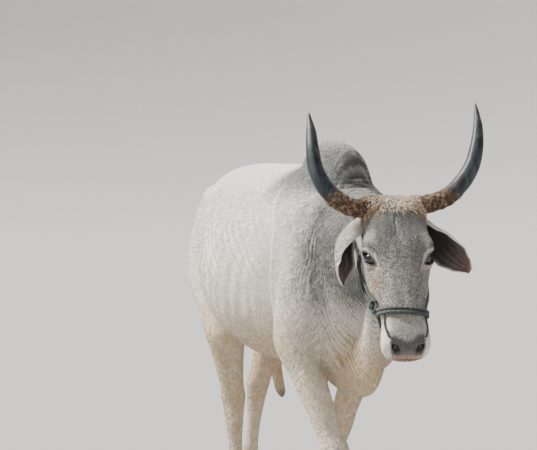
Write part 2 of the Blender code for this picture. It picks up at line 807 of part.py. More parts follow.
def tail_switch(finish):
    """Overlapping locks round the end of the tail, the longest in the middle."""
    tip = TAIL_PATH[-1]
    core = [
        (tip[0], tip[1], SWITCH_TOP, 0.013, 0.013),
        (tip[0], tip[1], SWITCH_TOP - 0.06, 0.020, 0.020),
        (tip[0], tip[1] - 0.002, SWITCH_TOP - 0.15, 0.014, 0.014),
        (tip[0], tip[1] - 0.004, SWITCH_TOP - SWITCH_LENGTH, 0.003, 0.003),
    ]
    whole = level_loft("tail_switch", core, 9, 8)
    chance = random.Random(5)
    for number in range(8):
        swing = 2.4 * number
        drop = 0.010 + 0.009 * number
        root = (tip[0] + 0.006 * math.cos(swing), tip[1] + 0.006 * math.sin(swing), SWITCH_TOP - drop)
        length = SWITCH_LENGTH * (0.62 + 0.26 * chance.random())
        piece = lock(f"lock{number}", root, swing, 0.016 + 0.012 * chance.random(), length, 0.014, 0.0065)
        boolean(whole, piece, "UNION")
    # Level top a gap below the end of the tail
    low, near, far = SWITCH_TOP - GAP, tip[1] - 0.2, tip[1] + 0.2
    slab = prism("slab", [(near, low), (far, low), (far, 0.9), (near, 0.9)], -0.2, 0.2)
    boolean(whole, slab, "DIFFERENCE")
    return dress(largest(whole), finish)


def sheath(name, grow, finish):
    rows = [
        (0.002, 0.185, 0.680, 0.040, 0.050),
        (0.002, 0.178, 0.620, 0.030, 0.040),
        (0.001, 0.158, 0.560, 0.024, 0.030),
        (0.000, 0.130, 0.510, 0.020, 0.024),
        (0.000, 0.108, 0.470, 0.017, 0.019),
        (0.000, 0.100, 0.452, 0.006, 0.007),
    ]
    return level_loft(name, rows, 10, 10, grow, finish)


def scrotum(name, grow, finish):
    rows = [
        (0.010, 0.430, 0.790, 0.020, 0.024),
        (0.010, 0.432, 0.730, 0.024, 0.027),
        (0.010, 0.434, 0.680, 0.036, 0.034),
        (0.010, 0.434, 0.635, 0.038, 0.036),
        (0.010, 0.433, 0.610, 0.018, 0.018),
    ]
    return level_loft(name, rows, 9, 10, grow, finish)


# Halter

def skin_tree(head, body):
    """Search tree of the outermost skin of the head and body together."""
    whole = boolean(twin(head), twin(body), "UNION")
    points = [v.co.copy() for v in whole.data.vertices]
    faces = [list(face.vertices) for face in whole.data.polygons]
    remove([whole])
    return BVHTree.FromPolygons(points, faces)


def draped(tree, guide, radius, count, rounds=5):
    """Taut rope path over guide points in the head's frame, held off the skin all the way."""
    path = smooth_rows([tuple(HEAD @ Vector(p)) for p in guide], count)
    reach = radius + ROPE_CLEAR
    for round_number in range(rounds):
        if round_number:
            path[1:-1] = 0.25 * path[:-2] + 0.5 * path[1:-1] + 0.25 * path[2:]
        for i, point in enumerate(path):
            place, normal, _, _ = tree.find_nearest(Vector(point))
            if round_number == 0 or (Vector(point) - place).dot(normal) < reach:
                path[i] = place + normal * reach
    return path


def strap_loop(tree, place, lean, radius, count):
    """Closed taut loop round the nose: the convex hull of the skin's section, moved out by the rope."""
    place = Vector(place)
    right = Vector((math.cos(NOSEBAND_TURN), -math.sin(NOSEBAND_TURN), 0))
    rise = Vector((0, -math.sin(lean), math.cos(lean)))
    rise = (rise - rise.dot(right) * right).normalized()
    turn_in = HEAD.to_3x3()
    flat = []
    for angle in np.linspace(0, 2 * math.pi, 72, endpoint=False):
        aim = right * math.cos(angle) + rise * math.sin(angle)
        hit = tree.ray_cast(HEAD @ (place + aim * 0.3), turn_in @ -aim)[0]
        local = HEAD.inverted() @ hit - place
        flat.append((local.dot(right), local.dot(rise)))
    hull = convex(flat)
    hull = np.array(hull + hull[:1])
    step = np.linalg.norm(np.diff(hull, axis=0), axis=1)
    run = np.concatenate([[0], np.cumsum(step)])
    wanted = np.linspace(0, run[-1], count, endpoint=False)
    ring = np.stack([np.interp(wanted, run, hull[:, 0]), np.interp(wanted, run, hull[:, 1])], axis=1)
    for _ in range(2):
        ring = 0.25 * np.roll(ring, 1, axis=0) + 0.5 * ring + 0.25 * np.roll(ring, -1, axis=0)
    tangent = np.roll(ring, -1, axis=0) - np.roll(ring, 1, axis=0)
    tangent /= np.linalg.norm(tangent, axis=1)[:, None]
    normal = np.stack([tangent[:, 1], -tangent[:, 0]], axis=1)
    ring = ring + normal * (radius + ROPE_CLEAR + BAND_EXTRA)
    path = [HEAD @ (place + right * float(a) + rise * float(b)) for a, b in ring]
    for i, point in enumerate(path):
        spot, outward, _, _ = tree.find_nearest(point)
        short = radius + ROPE_CLEAR + BAND_EXTRA - (point - spot).dot(outward)
        if short > 0:
            path[i] = point + outward * short
    return [tuple(point) for point in path]


def convex(points):
    """Counter-clockwise convex hull of points in a plane."""
    points = sorted(points)

    def chain(ordered):
        kept = []
        for p in ordered:
            while len(kept) > 1:
                ax, ay = kept[-1][0] - kept[-2][0], kept[-1][1] - kept[-2][1]
                if ax * (p[1] - kept[-2][1]) - ay * (p[0] - kept[-2][0]) > 0:
                    break
                kept.pop()
            kept.append(p)
        return kept[:-1]

    return chain(points) + chain(points[::-1])


NOSEBAND_PLACES = [(0, -0.3400, -0.10), (0, -0.3535, -0.10)]
NOSEBAND_LEAN = math.radians(30)
NOSEBAND_TURN = math.radians(5)
KNOT = (-0.0800, -0.322, -0.100)
HEADPIECE = [
    (-0.082, -0.312, -0.108),
    (-0.094, -0.250, -0.134),
    (-0.098, -0.180, -0.150),
    (-0.100, -0.090, -0.160),
    (-0.104, -0.010, -0.150),
    (-0.098, 0.040, -0.110),
    (-0.060, 0.066, -0.060),
    (0.000, 0.072, -0.045),
    (0.060, 0.066, -0.060),
    (0.098, 0.040, -0.110),
    (0.104, -0.012, -0.150),
    (0.100, -0.095, -0.158),
    (0.098, -0.185, -0.145),
    (0.092, -0.270, -0.134),
    (0.076, -0.345, -0.112),
]
CHEEK_CORD = [
    (-0.080, -0.318, -0.080),
    (-0.092, -0.260, -0.106),
    (-0.100, -0.190, -0.120),
    (-0.104, -0.110, -0.120),
]
CHIN_ROPE = [
    (-0.078, -0.336, -0.118),
    (-0.060, -0.376, -0.160),
    (0.000, -0.400, -0.176),
    (0.045, -0.392, -0.166),
    (0.068, -0.370, -0.128),
]
NOSE_CORD = [
    (0.058, -0.374, -0.062),
    (0.054, -0.412, -0.069),
    (0.048, -0.443, -0.072),
    (0.039, -0.470, -0.077),
]
# The end of each nose cord, dipping into the hollow of the nostril
NOSE_CORD_END = [(0.0365, -0.4815, -0.0825), (0.0360, -0.4775, -0.0880)]


def nose_cord_path(tree, side):
    """From the noseband down to the nostril, its last stretch dipping into the hollow."""
    path = draped(tree, [(side * x, y, z) for x, y, z in NOSE_CORD], CORD_RADIUS, 15)
    inside = [head_point(side, place) for place in NOSE_CORD_END]
    return smooth_rows(list(path[::2]) + [tuple(p) for p in inside], 14)


# Cuts between the named pieces. Each takes how far to grow, so that the far side keeps the gap.

def fore_cutter(side_name):
    """Everything of one side below a plane that rises outwards from the edge of the chest floor."""
    side = SIDES[side_name]
    near = -0.025 if side_name == "left" else 0.045
    edge = 0.045
    outline = []
    for reach in (near, 0.40):
        outline.append((side * reach, CHEST_FLOOR - 0.032 + 0.6 * (reach - edge)))
    outline = [(outline[0][0], -0.05), *outline, (outline[1][0], -0.05)]
    return lambda grow: prism("cutter", outline, -0.85, 0.0, "Y", grow)


def hind_cutter(side_name):
    low, high = (0.028, 0.40) if side_name == "left" else (-0.40, -0.028)
    outline = [(0.0, -0.05), (0.0, 0.546), (0.36, 0.80), (0.90, 0.80), (0.90, -0.05)]
    return lambda grow: prism("cutter", outline, low, high, "X", grow)


def hump_cutter(grow):
    """Box whose floor follows the line of the back under the hump."""
    floor = BACK - 0.060
    back, front = HUMP_Y + 0.205, HUMP_Y - 0.245
    outline = [(front, floor), (back, floor + 0.034), (back, 1.6), (front, 1.6)]
    return prism("cutter", outline, -0.3, 0.3, "X", grow)


def dewlap_cutter(grow):
    """Everything near the middle below a line from the throat to the chest floor behind the brisket."""
    outline = [(-1.2, 0.985), (-0.92, 0.985), (-0.34, CHEST_FLOOR + 0.03), (-0.34, 0.40), (-1.2, 0.40)]
    return prism("cutter", outline, -0.112, 0.085, "X", grow)


def neck_cutter(grow):
    """Everything in front of the slope of the shoulders."""
    outline = [(-0.505, 1.6), (-0.590, CHEST_FLOOR), (-1.6, CHEST_FLOOR), (-1.6, 1.6)]
    return prism("cutter", outline, -0.5, 0.5, "X", grow)


def head_plane(grow):
    """Half space in front of the slanted joint from behind the poll to the throat."""
    outline = [(0.292, 0.269), (-0.205, -0.400), (-0.800, -0.400), (-0.800, 0.269)]
    return in_head(prism("cutter", outline, -0.30, 0.30, "X", grow))


def level_cut(thing, height):
    """Cut everything below a height away."""
    slab = prism("slab", [(-2, -1), (2, -1), (2, height), (-2, height)], -1, 1)
    return boolean(thing, slab, "DIFFERENCE")


# Build

def build():
    remove(list(bpy.data.objects))
    coat = material("coat_white", (0.78, 0.76, 0.71), 0.85)
    shade = material("coat_grey", (0.42, 0.41, 0.40), 0.85)
    black_horn = material("horn_black", (0.035, 0.037, 0.042), 0.45)
    hoof_horn = material("hoof_black", (0.030, 0.028, 0.026), 0.55)
    eye_black = material("eye_black", (0.010, 0.008, 0.007), 0.10)
    hair_black = material("switch_black", (0.020, 0.018, 0.017), 0.75)
    rope_green = material("rope_green", (0.045, 0.060, 0.055), 0.90)

    body_forms = [trunk_form(), hump_form(), neck_form(), dewlap_form(), skull_form()]
    for side_name, side in SIDES.items():
        body_forms.append(leg_form("fore", FORE_JOINTS[side_name], FORE_WIDTHS))
        body_forms.append(leg_form("hind", HIND_JOINTS[side_name], HIND_WIDTHS))
        body_forms += hip_forms(side)
    body = blended("torso", body_forms, BODY_VOXEL, 9, BODY_FACES)

    head_forms = [skull_form(), chin_form(), neck_form()]
    for side in SIDES.values():
        head_forms += face_forms(side)
    head = blended("head", head_forms, HEAD_VOXEL, 4, HEAD_FACES)
    boolean(head, head_plane(0.0), "INTERSECT")
    rope_tree = skin_tree(head, body)
    boolean(body, head_plane(GAP), "DIFFERENCE")
    for cutter in (tail, sheath, scrotum):
        boolean(body, cutter("cutter", GAP, None), "DIFFERENCE")

    for side_name, side in SIDES.items():
        leg = part_off(body, f"foreleg_{side_name}", fore_cutter(side_name), coat)
        finish_foot(leg, f"fore_{side_name}", FORE_JOINTS[side_name], coat, hoof_horn)
        leg = part_off(body, f"hindleg_{side_name}", hind_cutter(side_name), coat)
        finish_foot(leg, f"hind_{side_name}", HIND_JOINTS[side_name], coat, hoof_horn)

    part_off(body, "hump", hump_cutter, shade)
    part_off(body, "dewlap", dewlap_cutter, coat)
    part_off(body, "neck", neck_cutter, shade)
    dress(largest(body), coat)
    dock = tail("tail", 0.0, coat)
    level_cut(dock, SWITCH_TOP)
    dress(largest(dock), coat)
    dress(largest(sheath("sheath", 0.0, None)), shade)
    dress(largest(scrotum("scrotum", 0.0, None)), shade)
    tail_switch(hair_black)

    cords = {side: nose_cord_path(rope_tree, side) for side in SIDES.values()}
    boolean(head, mouth_cut(rope_tree), "DIFFERENCE")
    for side_name, side in SIDES.items():
        boolean(head, horn("cutter", side_name, 2 * GAP, None), "DIFFERENCE")
        boolean(head, ear("cutter", side_name, 2 * GAP, None), "DIFFERENCE")
        boolean(head, eye("cutter", side, GAP, None), "DIFFERENCE")
        boolean(head, lid_opening(side), "DIFFERENCE")
        boolean(head, nostril_cut(side), "DIFFERENCE")
        boolean(head, tube("cutter", cords[side], CORD_RADIUS, 6, grow=CORD_CLEAR), "DIFFERENCE")
        largest(horn(f"horn_{side_name}", side_name, 0.0, black_horn))
        largest(eye(f"eye_{side_name}", side, 0.0, eye_black))
    dress(largest(head), coat)
    for side_name in SIDES:
        leaf = ear(f"ear_{side_name}", side_name, 0.0, None)
        boolean(leaf, twin(head), "DIFFERENCE")
        dress(largest(leaf), shade)
    build_halter(rope_tree, cords, rope_green)
    centre_all()


def finish_foot(leg, tag, joints, coat, hoof_horn):
    """Level the pastern's end and add the claws and dewclaws of one foot."""
    level_cut(leg, HOOF_TOP + GAP)
    for name, inner in (("outer", np.sign(joints[-1][0])), ("inner", -np.sign(joints[-1][0]))):
        boolean(leg, dewclaw("cutter", joints[-2], inner, GAP, None), "DIFFERENCE")
        largest(dewclaw(f"dewclaw_{tag}_{name}", joints[-2], inner, 0.0, hoof_horn))
        largest(hoof(f"hoof_{tag}_{name}", joints[-1], inner, hoof_horn))
    dress(largest(leg), coat)


def noseband(name, tree, grow):
    """Two taut strands round the nose with a knot over the cheek."""
    spot, outward, _, _ = tree.find_nearest(HEAD @ Vector(KNOT))
    radii = [radius + grow for radius in KNOT_RADII]
    knot = ball("knot", spot + outward * KNOT_STAND, radii, HEAD.to_3x3().to_4x4(), 10, 8)
    strands = []
    for place in NOSEBAND_PLACES:
        path = strap_loop(tree, place, NOSEBAND_LEAN, ROPE_RADIUS, 30)
        strands.append(tube(name, path, ROPE_RADIUS + BAND_EXTRA, 6, True, grow))
    boolean(strands[0], strands[1], "UNION")
    return boolean(strands[0], knot, "UNION")


def build_halter(tree, cords, finish):
    """Noseband, the rope over the poll, the cheek cord, the chin rope and the cords to the nostrils."""
    dress(largest(noseband("halter_noseband", tree, 0.0)), finish)
    ropes = [
        ("halter_headpiece", draped(tree, HEADPIECE, ROPE_RADIUS, 54), ROPE_RADIUS),
        ("halter_cheek_cord", draped(tree, CHEEK_CORD, ROPE_RADIUS * 0.75, 16), ROPE_RADIUS * 0.75),
        ("halter_chin_rope", draped(tree, CHIN_ROPE, ROPE_RADIUS * 0.85, 18), ROPE_RADIUS * 0.85),
        ("nose_cord_left", cords[1], CORD_RADIUS),
        ("nose_cord_right", cords[-1], CORD_RADIUS),
    ]
    for name, path, radius in ropes:
        rope = tube(name, path, radius, 6)
        boolean(rope, noseband("cutter", tree, 2 * GAP), "DIFFERENCE")
        dress(largest(rope), finish)


def centre_all():
    """Put the origin on the floor below the middle of the bounding box, and shade the forms smooth."""
    corners = np.array([v.co for thing in bpy.data.objects for v in thing.data.vertices])
    middle = (corners.min(0) + corners.max(0)) / 2
    shift = Matrix.Translation((-middle[0], -middle[1], 0.0))
    for thing in bpy.data.objects:
        thing.data.transform(shift)
        thing.data.shade_smooth()
        thing.data.set_sharp_from_angle(angle=SHARP)


build()
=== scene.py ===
import math

import bmesh
import bpy
import numpy as np
from mathutils import Matrix, Vector
from mathutils.bvhtree import BVHTree


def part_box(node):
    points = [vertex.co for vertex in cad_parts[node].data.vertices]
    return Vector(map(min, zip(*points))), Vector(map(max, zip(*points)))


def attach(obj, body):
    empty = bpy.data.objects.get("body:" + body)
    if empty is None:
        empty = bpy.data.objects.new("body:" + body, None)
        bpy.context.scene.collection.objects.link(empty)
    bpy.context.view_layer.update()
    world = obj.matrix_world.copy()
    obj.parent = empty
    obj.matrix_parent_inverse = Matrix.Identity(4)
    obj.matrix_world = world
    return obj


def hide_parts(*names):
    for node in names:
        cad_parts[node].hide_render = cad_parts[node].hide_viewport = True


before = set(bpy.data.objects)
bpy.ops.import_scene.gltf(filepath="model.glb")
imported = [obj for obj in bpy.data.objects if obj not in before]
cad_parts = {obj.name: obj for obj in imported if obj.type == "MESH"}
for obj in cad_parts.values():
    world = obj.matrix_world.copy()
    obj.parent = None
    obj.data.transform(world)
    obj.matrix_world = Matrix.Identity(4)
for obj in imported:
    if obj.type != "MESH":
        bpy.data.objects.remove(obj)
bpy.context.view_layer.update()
print("frame loaded")

# Camera, floor and studio light

cameraView = {
    "place": (-2.64241691, -5.26540069, 1.55),
    "turn": -25.0,
    "dip": 4.479,
    "focal": 1800.0,
    "across": 537,
}


def setCamera():
    view = bpy.data.cameras.new("camera")
    view.sensor_width = 36.0
    view.lens = cameraView["focal"] / cameraView["across"] * view.sensor_width
    view.clip_end = 200.0
    stand = bpy.data.objects.new("camera", view)
    stand.location = cameraView["place"]
    stand.rotation_euler = (math.radians(90 - cameraView["dip"]), 0, math.radians(cameraView["turn"]))
    bpy.context.scene.collection.objects.link(stand)
    bpy.context.scene.camera = stand


studio = {
    "sky": (0.93, 0.95, 1.0),
    "skyStrength": 0.50,
    "floor": (0.33, 0.328, 0.322),
    # where the floor starts to bend up, the radius of the bend, its last slope in degrees, and its top
    "coveHalf": 12.0,
    "coveBend": 12.0,
    "coveSlope": 38.0,
    "coveTop": 8.0,
    # name, kind, place, size or angle, power, colour, shine
    "lamps": [
        ("lampKey", "SUN", (-2.9, 2.7, 5.0), 12.0, 10.6, (1.0, 0.97, 0.91), 1.0),
        ("lampRim", "SUN", (2.8, 3.2, 4.4), 15.0, 2.2, (1.0, 0.98, 0.94), 0.6),
        ("lampFront", "AREA", (-4.4, -5.4, 2.4), 6.0, 45.0, (0.95, 0.97, 1.0), 0.4),
    ],
    "aim": (0.0, -0.1, 0.95),
}


def setStudio():
    world = bpy.data.worlds.new("studio")
    bpy.context.scene.world = world
    world.use_nodes = True
    sky = world.node_tree.nodes["Background"]
    sky.inputs["Color"].default_value = (*studio["sky"], 1)
    sky.inputs["Strength"].default_value = studio["skyStrength"]
    for name, kind, place, size, power, colour, shine in studio["lamps"]:
        light = bpy.data.lights.new(name, kind)
        if kind == "SUN":
            light.angle = math.radians(size)
        else:
            light.shape = "DISK"
            light.size = size
        light.energy = power
        light.color = colour
        light.specular_factor = shine
        lamp = bpy.data.objects.new(name, light)
        lamp.location = place
        lamp.rotation_euler = (Vector(studio["aim"]) - Vector(place)).to_track_quat("-Z", "Y").to_euler()
        bpy.context.scene.collection.objects.link(lamp)
    # level round floor whose rim bends up into a slope: radius and height along a profile, carried round
    bend = np.linspace(0, math.radians(studio["coveSlope"]), 20)
    radius = np.concatenate([[2.0, 8.0], studio["coveHalf"] + studio["coveBend"] * np.sin(bend)])
    height = np.concatenate([[0.0, 0.0], studio["coveBend"] * (1 - np.cos(bend))])
    beyond = (studio["coveTop"] - height[-1]) / math.tan(bend[-1])
    radius, height = np.append(radius, radius[-1] + beyond), np.append(height, studio["coveTop"])
    angle = np.linspace(0, 2 * math.pi, 96, endpoint=False)
    x, y = radius[:, None] * np.cos(angle), radius[:, None] * np.sin(angle)
    points = np.stack([x, y, np.repeat(height[:, None], 96, axis=1)], axis=2).reshape(-1, 3)
    i, k = np.meshgrid(np.arange(len(radius) - 1), np.arange(96), indexing="ij")
    first, second = (i * 96 + k).ravel(), (i * 96 + (k + 1) % 96).ravel()
    faces = np.stack([first, first + 96, second + 96, second], axis=1).tolist() + [tuple(range(96))]
    mesh = bpy.data.meshes.new("floor")
    mesh.from_pydata(points.tolist(), [], faces)
    mesh.shade_smooth()
    floor = bpy.data.objects.new("floor", mesh)
    bpy.context.scene.collection.objects.link(floor)
    made = bpy.data.materials.new("floorPaint")
    made.use_nodes = True
    shader = made.node_tree.nodes["Principled BSDF"]
    shader.inputs["Base Color"].default_value = (*studio["floor"], 1)
    shader.inputs["Roughness"].default_value = 0.9
    mesh.materials.append(made)


setCamera()
setStudio()
print("camera and studio ready")

# Sizes of the body, in the body's own frame, which the part's frame is shifted from

back = 1.28
chestFloor = 0.60
barrelHalf = 0.305
shoulderHalf = 0.205
rumpHalf = 0.200
humpTop = 1.372
humpY = -0.315
elbowZ, kneeZ, stifleZ, hockZ, fetlockZ = 0.690, 0.395, 0.660, 0.440, 0.130
hoofTop = 0.062
switchTop = 0.62
headHalf, muzzleHalf = 0.108, 0.071
poll = Vector((-0.162, -0.987, 1.2125))
head = (
    Matrix.Translation(poll)
    @ Matrix.Rotation(math.radians(-20), 4, "Z")
    @ Matrix.Rotation(math.radians(45), 4, "X")
    @ Matrix.Scale(0.97, 4)
)
headIn = head.inverted()
eyePlace = (0.0745, -0.1875, -0.0445)
eyeRadius = 0.0260


def throughHead(points, inward=False):
    # head frame to body frame, or back
    m = np.array(headIn if inward else head)
    return np.asarray(points, float) @ m[:3, :3].T + m[:3, 3]


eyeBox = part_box("eye_left")
bodyShift = np.array((eyeBox[0] + eyeBox[1]) / 2) - throughHead([eyePlace])[0]
print("body frame shift", np.round(bodyShift, 4))

# Surfaces from rows of named sizes


def smoothRows(rows, count):
    # cubic curve through the rows, spaced evenly by the distance between their first three values
    rows = np.array(rows, float)
    step = np.linalg.norm(np.diff(rows[:, :3], axis=0), axis=1)
    place = np.concatenate([[0.0], np.cumsum(step)])
    slope = np.gradient(rows, place, axis=0)
    wanted = np.linspace(0.0, place[-1], count)
    index = np.clip(np.searchsorted(place, wanted, side="right") - 1, 0, len(rows) - 2)
    span = (place[index + 1] - place[index])[:, None]
    t = (wanted - place[index])[:, None] / span
    return (
        rows[index] * (1 + 2 * t) * (1 - t) ** 2
        + slope[index] * span * t * (1 - t) ** 2
        + rows[index + 1] * t**2 * (3 - 2 * t)
        + slope[index + 1] * span * t**2 * (t - 1)
    )


def signedPower(value, power):
    return np.sign(value) * np.abs(value) ** power


def turnSteps(sides):
    angle = np.linspace(0, 2 * math.pi, sides, endpoint=False)
    return np.cos(angle), np.sin(angle)


def closedLoft(rings):
    # rings (count, sides, 3) joined by quads, with a fan at each end
    count, sides, _ = rings.shape
    points = np.concatenate([rings.reshape(-1, 3), rings[:1].mean(1), rings[-1:].mean(1)])
    i, k = np.meshgrid(np.arange(count - 1), np.arange(sides), indexing="ij")
    a, b = (i * sides + k).ravel(), (i * sides + (k + 1) % sides).ravel()
    quads = np.stack([a, b, b + sides, a + sides], axis=1)
    k = np.arange(sides)
    after = (k + 1) % sides
    last = (count - 1) * sides
    fans = np.concatenate(
        [
            np.stack([after, k, np.full(sides, count * sides)], axis=1),
            np.stack([last + k, last + after, np.full(sides, count * sides + 1)], axis=1),
        ]
    )
    return points, [quads, fans]


def barrelForm(rows, rings, sides):
    # loft along y; a row is y, centre x, widest z, top z, bottom z, half width, upper power, lower power
    rows = smoothRows(rows, rings)
    c, s = turnSteps(sides)
    power = 2 / np.where(s >= 0, rows[:, 6:7], rows[:, 7:8])
    rise = np.where(s >= 0, rows[:, 3:4] - rows[:, 2:3], rows[:, 2:3] - rows[:, 4:5])
    x = rows[:, 1:2] + rows[:, 5:6] * signedPower(c, power)
    z = rows[:, 2:3] + rise * signedPower(s, power)
    y = np.repeat(rows[:, 0:1], sides, axis=1)
    return closedLoft(np.stack([x, y, z], axis=2))


def levelForm(rows, rings, sides):
    # loft in level rings, from the top down; a row is x, y, z, half width across, half width fore and aft
    rows = smoothRows(rows, rings)
    c, s = turnSteps(sides)
    x, y = rows[:, 0:1] + rows[:, 3:4] * c, rows[:, 1:2] + rows[:, 4:5] * s
    return closedLoft(np.stack([x, y, np.repeat(rows[:, 2:3], sides, axis=1)], axis=2))


def sweepForm(rows, rings, sides, up=(0, 0, 1)):
    # loft square to its path; a row is x, y, z, half width to the side, reach above, reach below
    rows = smoothRows(rows, rings)
    tangent = np.gradient(rows[:, :3], axis=0)
    tangent /= np.linalg.norm(tangent, axis=1)[:, None]
    side = np.cross(tangent, up)
    side /= np.linalg.norm(side, axis=1)[:, None]
    rise = np.cross(side, tangent)
    c, s = turnSteps(sides)
    reach = np.where(s >= 0, rows[:, 4:5], rows[:, 5:6])
    around = (rows[:, 3:4] * c)[:, :, None] * side[:, None] + (reach * s)[:, :, None] * rise[:, None]
    return closedLoft(rows[:, None, :3] + around)


def ballForm(place, radii, turn=None, rings=20, sides=28):
    # ellipsoid of three radii, closed by a fan at each pole
    lift = np.linspace(-math.pi / 2, math.pi / 2, rings + 2)[1:-1]
    c, s = turnSteps(sides)
    flat, rise = np.cos(lift)[:, None], np.repeat(np.sin(lift)[:, None], sides, axis=1)
    ring = np.stack([flat * c, flat * s, rise], axis=2)
    points, faces = closedLoft(ring * np.array(radii, float))
    if turn is not None:
        points = points @ np.array(turn).T
    return points + np.array(place, float), faces


def joined(forms):
    points, faces, total = [], [], 0
    for formPoints, formFaces in forms:
        points.append(formPoints)
        faces += [f + total for f in formFaces]
        total += len(formPoints)
    return np.concatenate(points), faces


def meshPiece(name, points, faces):
    # puts whole arrays into a mesh, moved from the body's frame into the part's
    mesh = bpy.data.meshes.new(name)
    points = np.asarray(points, float).reshape(-1, 3) + bodyShift
    corners = np.concatenate([f.ravel() for f in faces]).astype(np.int32)
    sizes = np.concatenate([np.full(len(f), f.shape[1]) for f in faces])
    mesh.vertices.add(len(points))
    mesh.vertices.foreach_set("co", points.ravel())
    mesh.loops.add(len(corners))
    mesh.loops.foreach_set("vertex_index", corners)
    mesh.polygons.add(len(sizes))
    mesh.polygons.foreach_set("loop_start", np.concatenate([[0], np.cumsum(sizes)[:-1]]).astype(np.int32))
    mesh.update(calc_edges=True)
    mesh.validate()
    mesh.polygons.foreach_set("use_smooth", np.full(len(mesh.polygons), True))
    made = bpy.data.objects.new(name, mesh)
    bpy.context.scene.collection.objects.link(made)
    return made


def mapPoints(thing, name, uv):
    # a UV map that takes its place from each point
    corners = np.empty(len(thing.data.loops), np.int32)
    thing.data.loops.foreach_get("vertex_index", corners)
    layer = thing.data.uv_layers.new(name=name)
    layer.data.foreach_set("uv", uv[corners].astype(np.float32).ravel())


def pointsOf(thing):
    co = np.empty(len(thing.data.vertices) * 3, np.float32)
    thing.data.vertices.foreach_get("co", co)
    return co.reshape(-1, 3).astype(float) - bodyShift


def setPoints(thing, points):
    thing.data.vertices.foreach_set("co", (points + bodyShift).astype(np.float32).ravel())
    thing.data.update()


def normalsOf(thing):
    out = np.empty(len(thing.data.vertices) * 3, np.float32)
    thing.data.vertex_normals.foreach_get("vector", out)
    return out.reshape(-1, 3).astype(float)


def baked(thing):
    # the object keeps its modified mesh, and no modifiers
    bpy.context.view_layer.update()
    graph = bpy.context.evaluated_depsgraph_get()
    mesh = bpy.data.meshes.new_from_object(thing.evaluated_get(graph))
    thing.modifiers.clear()
    thing.data = mesh
    return thing


def ease(value, low, high):
    # smooth step from 0 at low to 1 at high
    t = np.clip((value - low) / (high - low), 0.0, 1.0)
    return t * t * (3 - 2 * t)


def unit(vectors):
    return vectors / np.maximum(np.linalg.norm(vectors, axis=-1, keepdims=True), 1e-9)


def waver(points, scale, seed):
    # smooth wandering value between about -1 and 1, a sum of slanted sine waves
    chance = np.random.default_rng(seed)
    total = np.zeros(len(points))
    for _ in range(6):
        aim = chance.normal(size=3)
        total += np.sin(points @ aim * scale * 2.2 + chance.uniform(0, 2 * math.pi))
    return total / 6


# Forms of the body

legJoints = {
    "foreLeft": [
        (0.090, -0.300, 1.190), (0.150, -0.390, 0.930), (0.125, -0.300, elbowZ),
        (0.073, -0.190, kneeZ), (0.060, -0.110, fetlockZ), (0.060, -0.142, 0.060),
    ],
    "foreRight": [
        (-0.090, -0.300, 1.190), (-0.160, -0.420, 0.930), (-0.166, -0.372, elbowZ),
        (-0.119, -0.545, kneeZ), (-0.115, -0.570, fetlockZ), (-0.115, -0.606, 0.060),
    ],
    "hindLeft": [
        (0.105, 0.420, 1.170), (0.135, 0.460, 0.900), (0.138, 0.440, stifleZ),
        (0.105, 0.530, hockZ), (0.108, 0.612, fetlockZ), (0.108, 0.582, 0.060),
    ],
    "hindRight": [
        (-0.085, 0.410, 1.170), (-0.138, 0.370, 0.900), (-0.158, 0.235, stifleZ),
        (-0.106, 0.285, hockZ), (-0.112, 0.238, fetlockZ), (-0.114, 0.206, 0.060),
    ],
}
# place counted in joints, half width across, half width fore and aft
foreWidths = [
    (0.00, 0.034, 0.070), (0.50, 0.052, 0.118), (1.00, 0.060, 0.140), (1.55, 0.064, 0.130),
    (2.00, 0.062, 0.096), (2.30, 0.055, 0.074), (2.62, 0.048, 0.057), (2.86, 0.045, 0.048),
    (3.00, 0.048, 0.051), (3.16, 0.040, 0.042), (3.40, 0.029, 0.034), (3.76, 0.028, 0.033),
    (4.00, 0.037, 0.041), (4.45, 0.034, 0.036), (4.85, 0.043, 0.045), (5.00, 0.044, 0.0455),
]
hindWidths = [
    (0.00, 0.058, 0.100), (0.45, 0.084, 0.165), (1.00, 0.084, 0.178), (1.60, 0.076, 0.140),
    (2.00, 0.062, 0.104), (2.40, 0.050, 0.076), (2.80, 0.042, 0.062), (3.00, 0.043, 0.058),
    (3.14, 0.038, 0.048), (3.36, 0.030, 0.039), (3.80, 0.027, 0.033), (4.00, 0.036, 0.040),
    (4.45, 0.033, 0.036), (4.85, 0.042, 0.044), (5.00, 0.043, 0.0448),
]


def legForm(joints, widths):
    joints = np.array(joints)
    rows = []
    for place, across, along in widths:
        index = min(int(place), len(joints) - 2)
        share = place - index
        rows.append((*(joints[index] * (1 - share) + joints[index + 1] * share), across, along))
    return levelForm(rows, 90, 36)


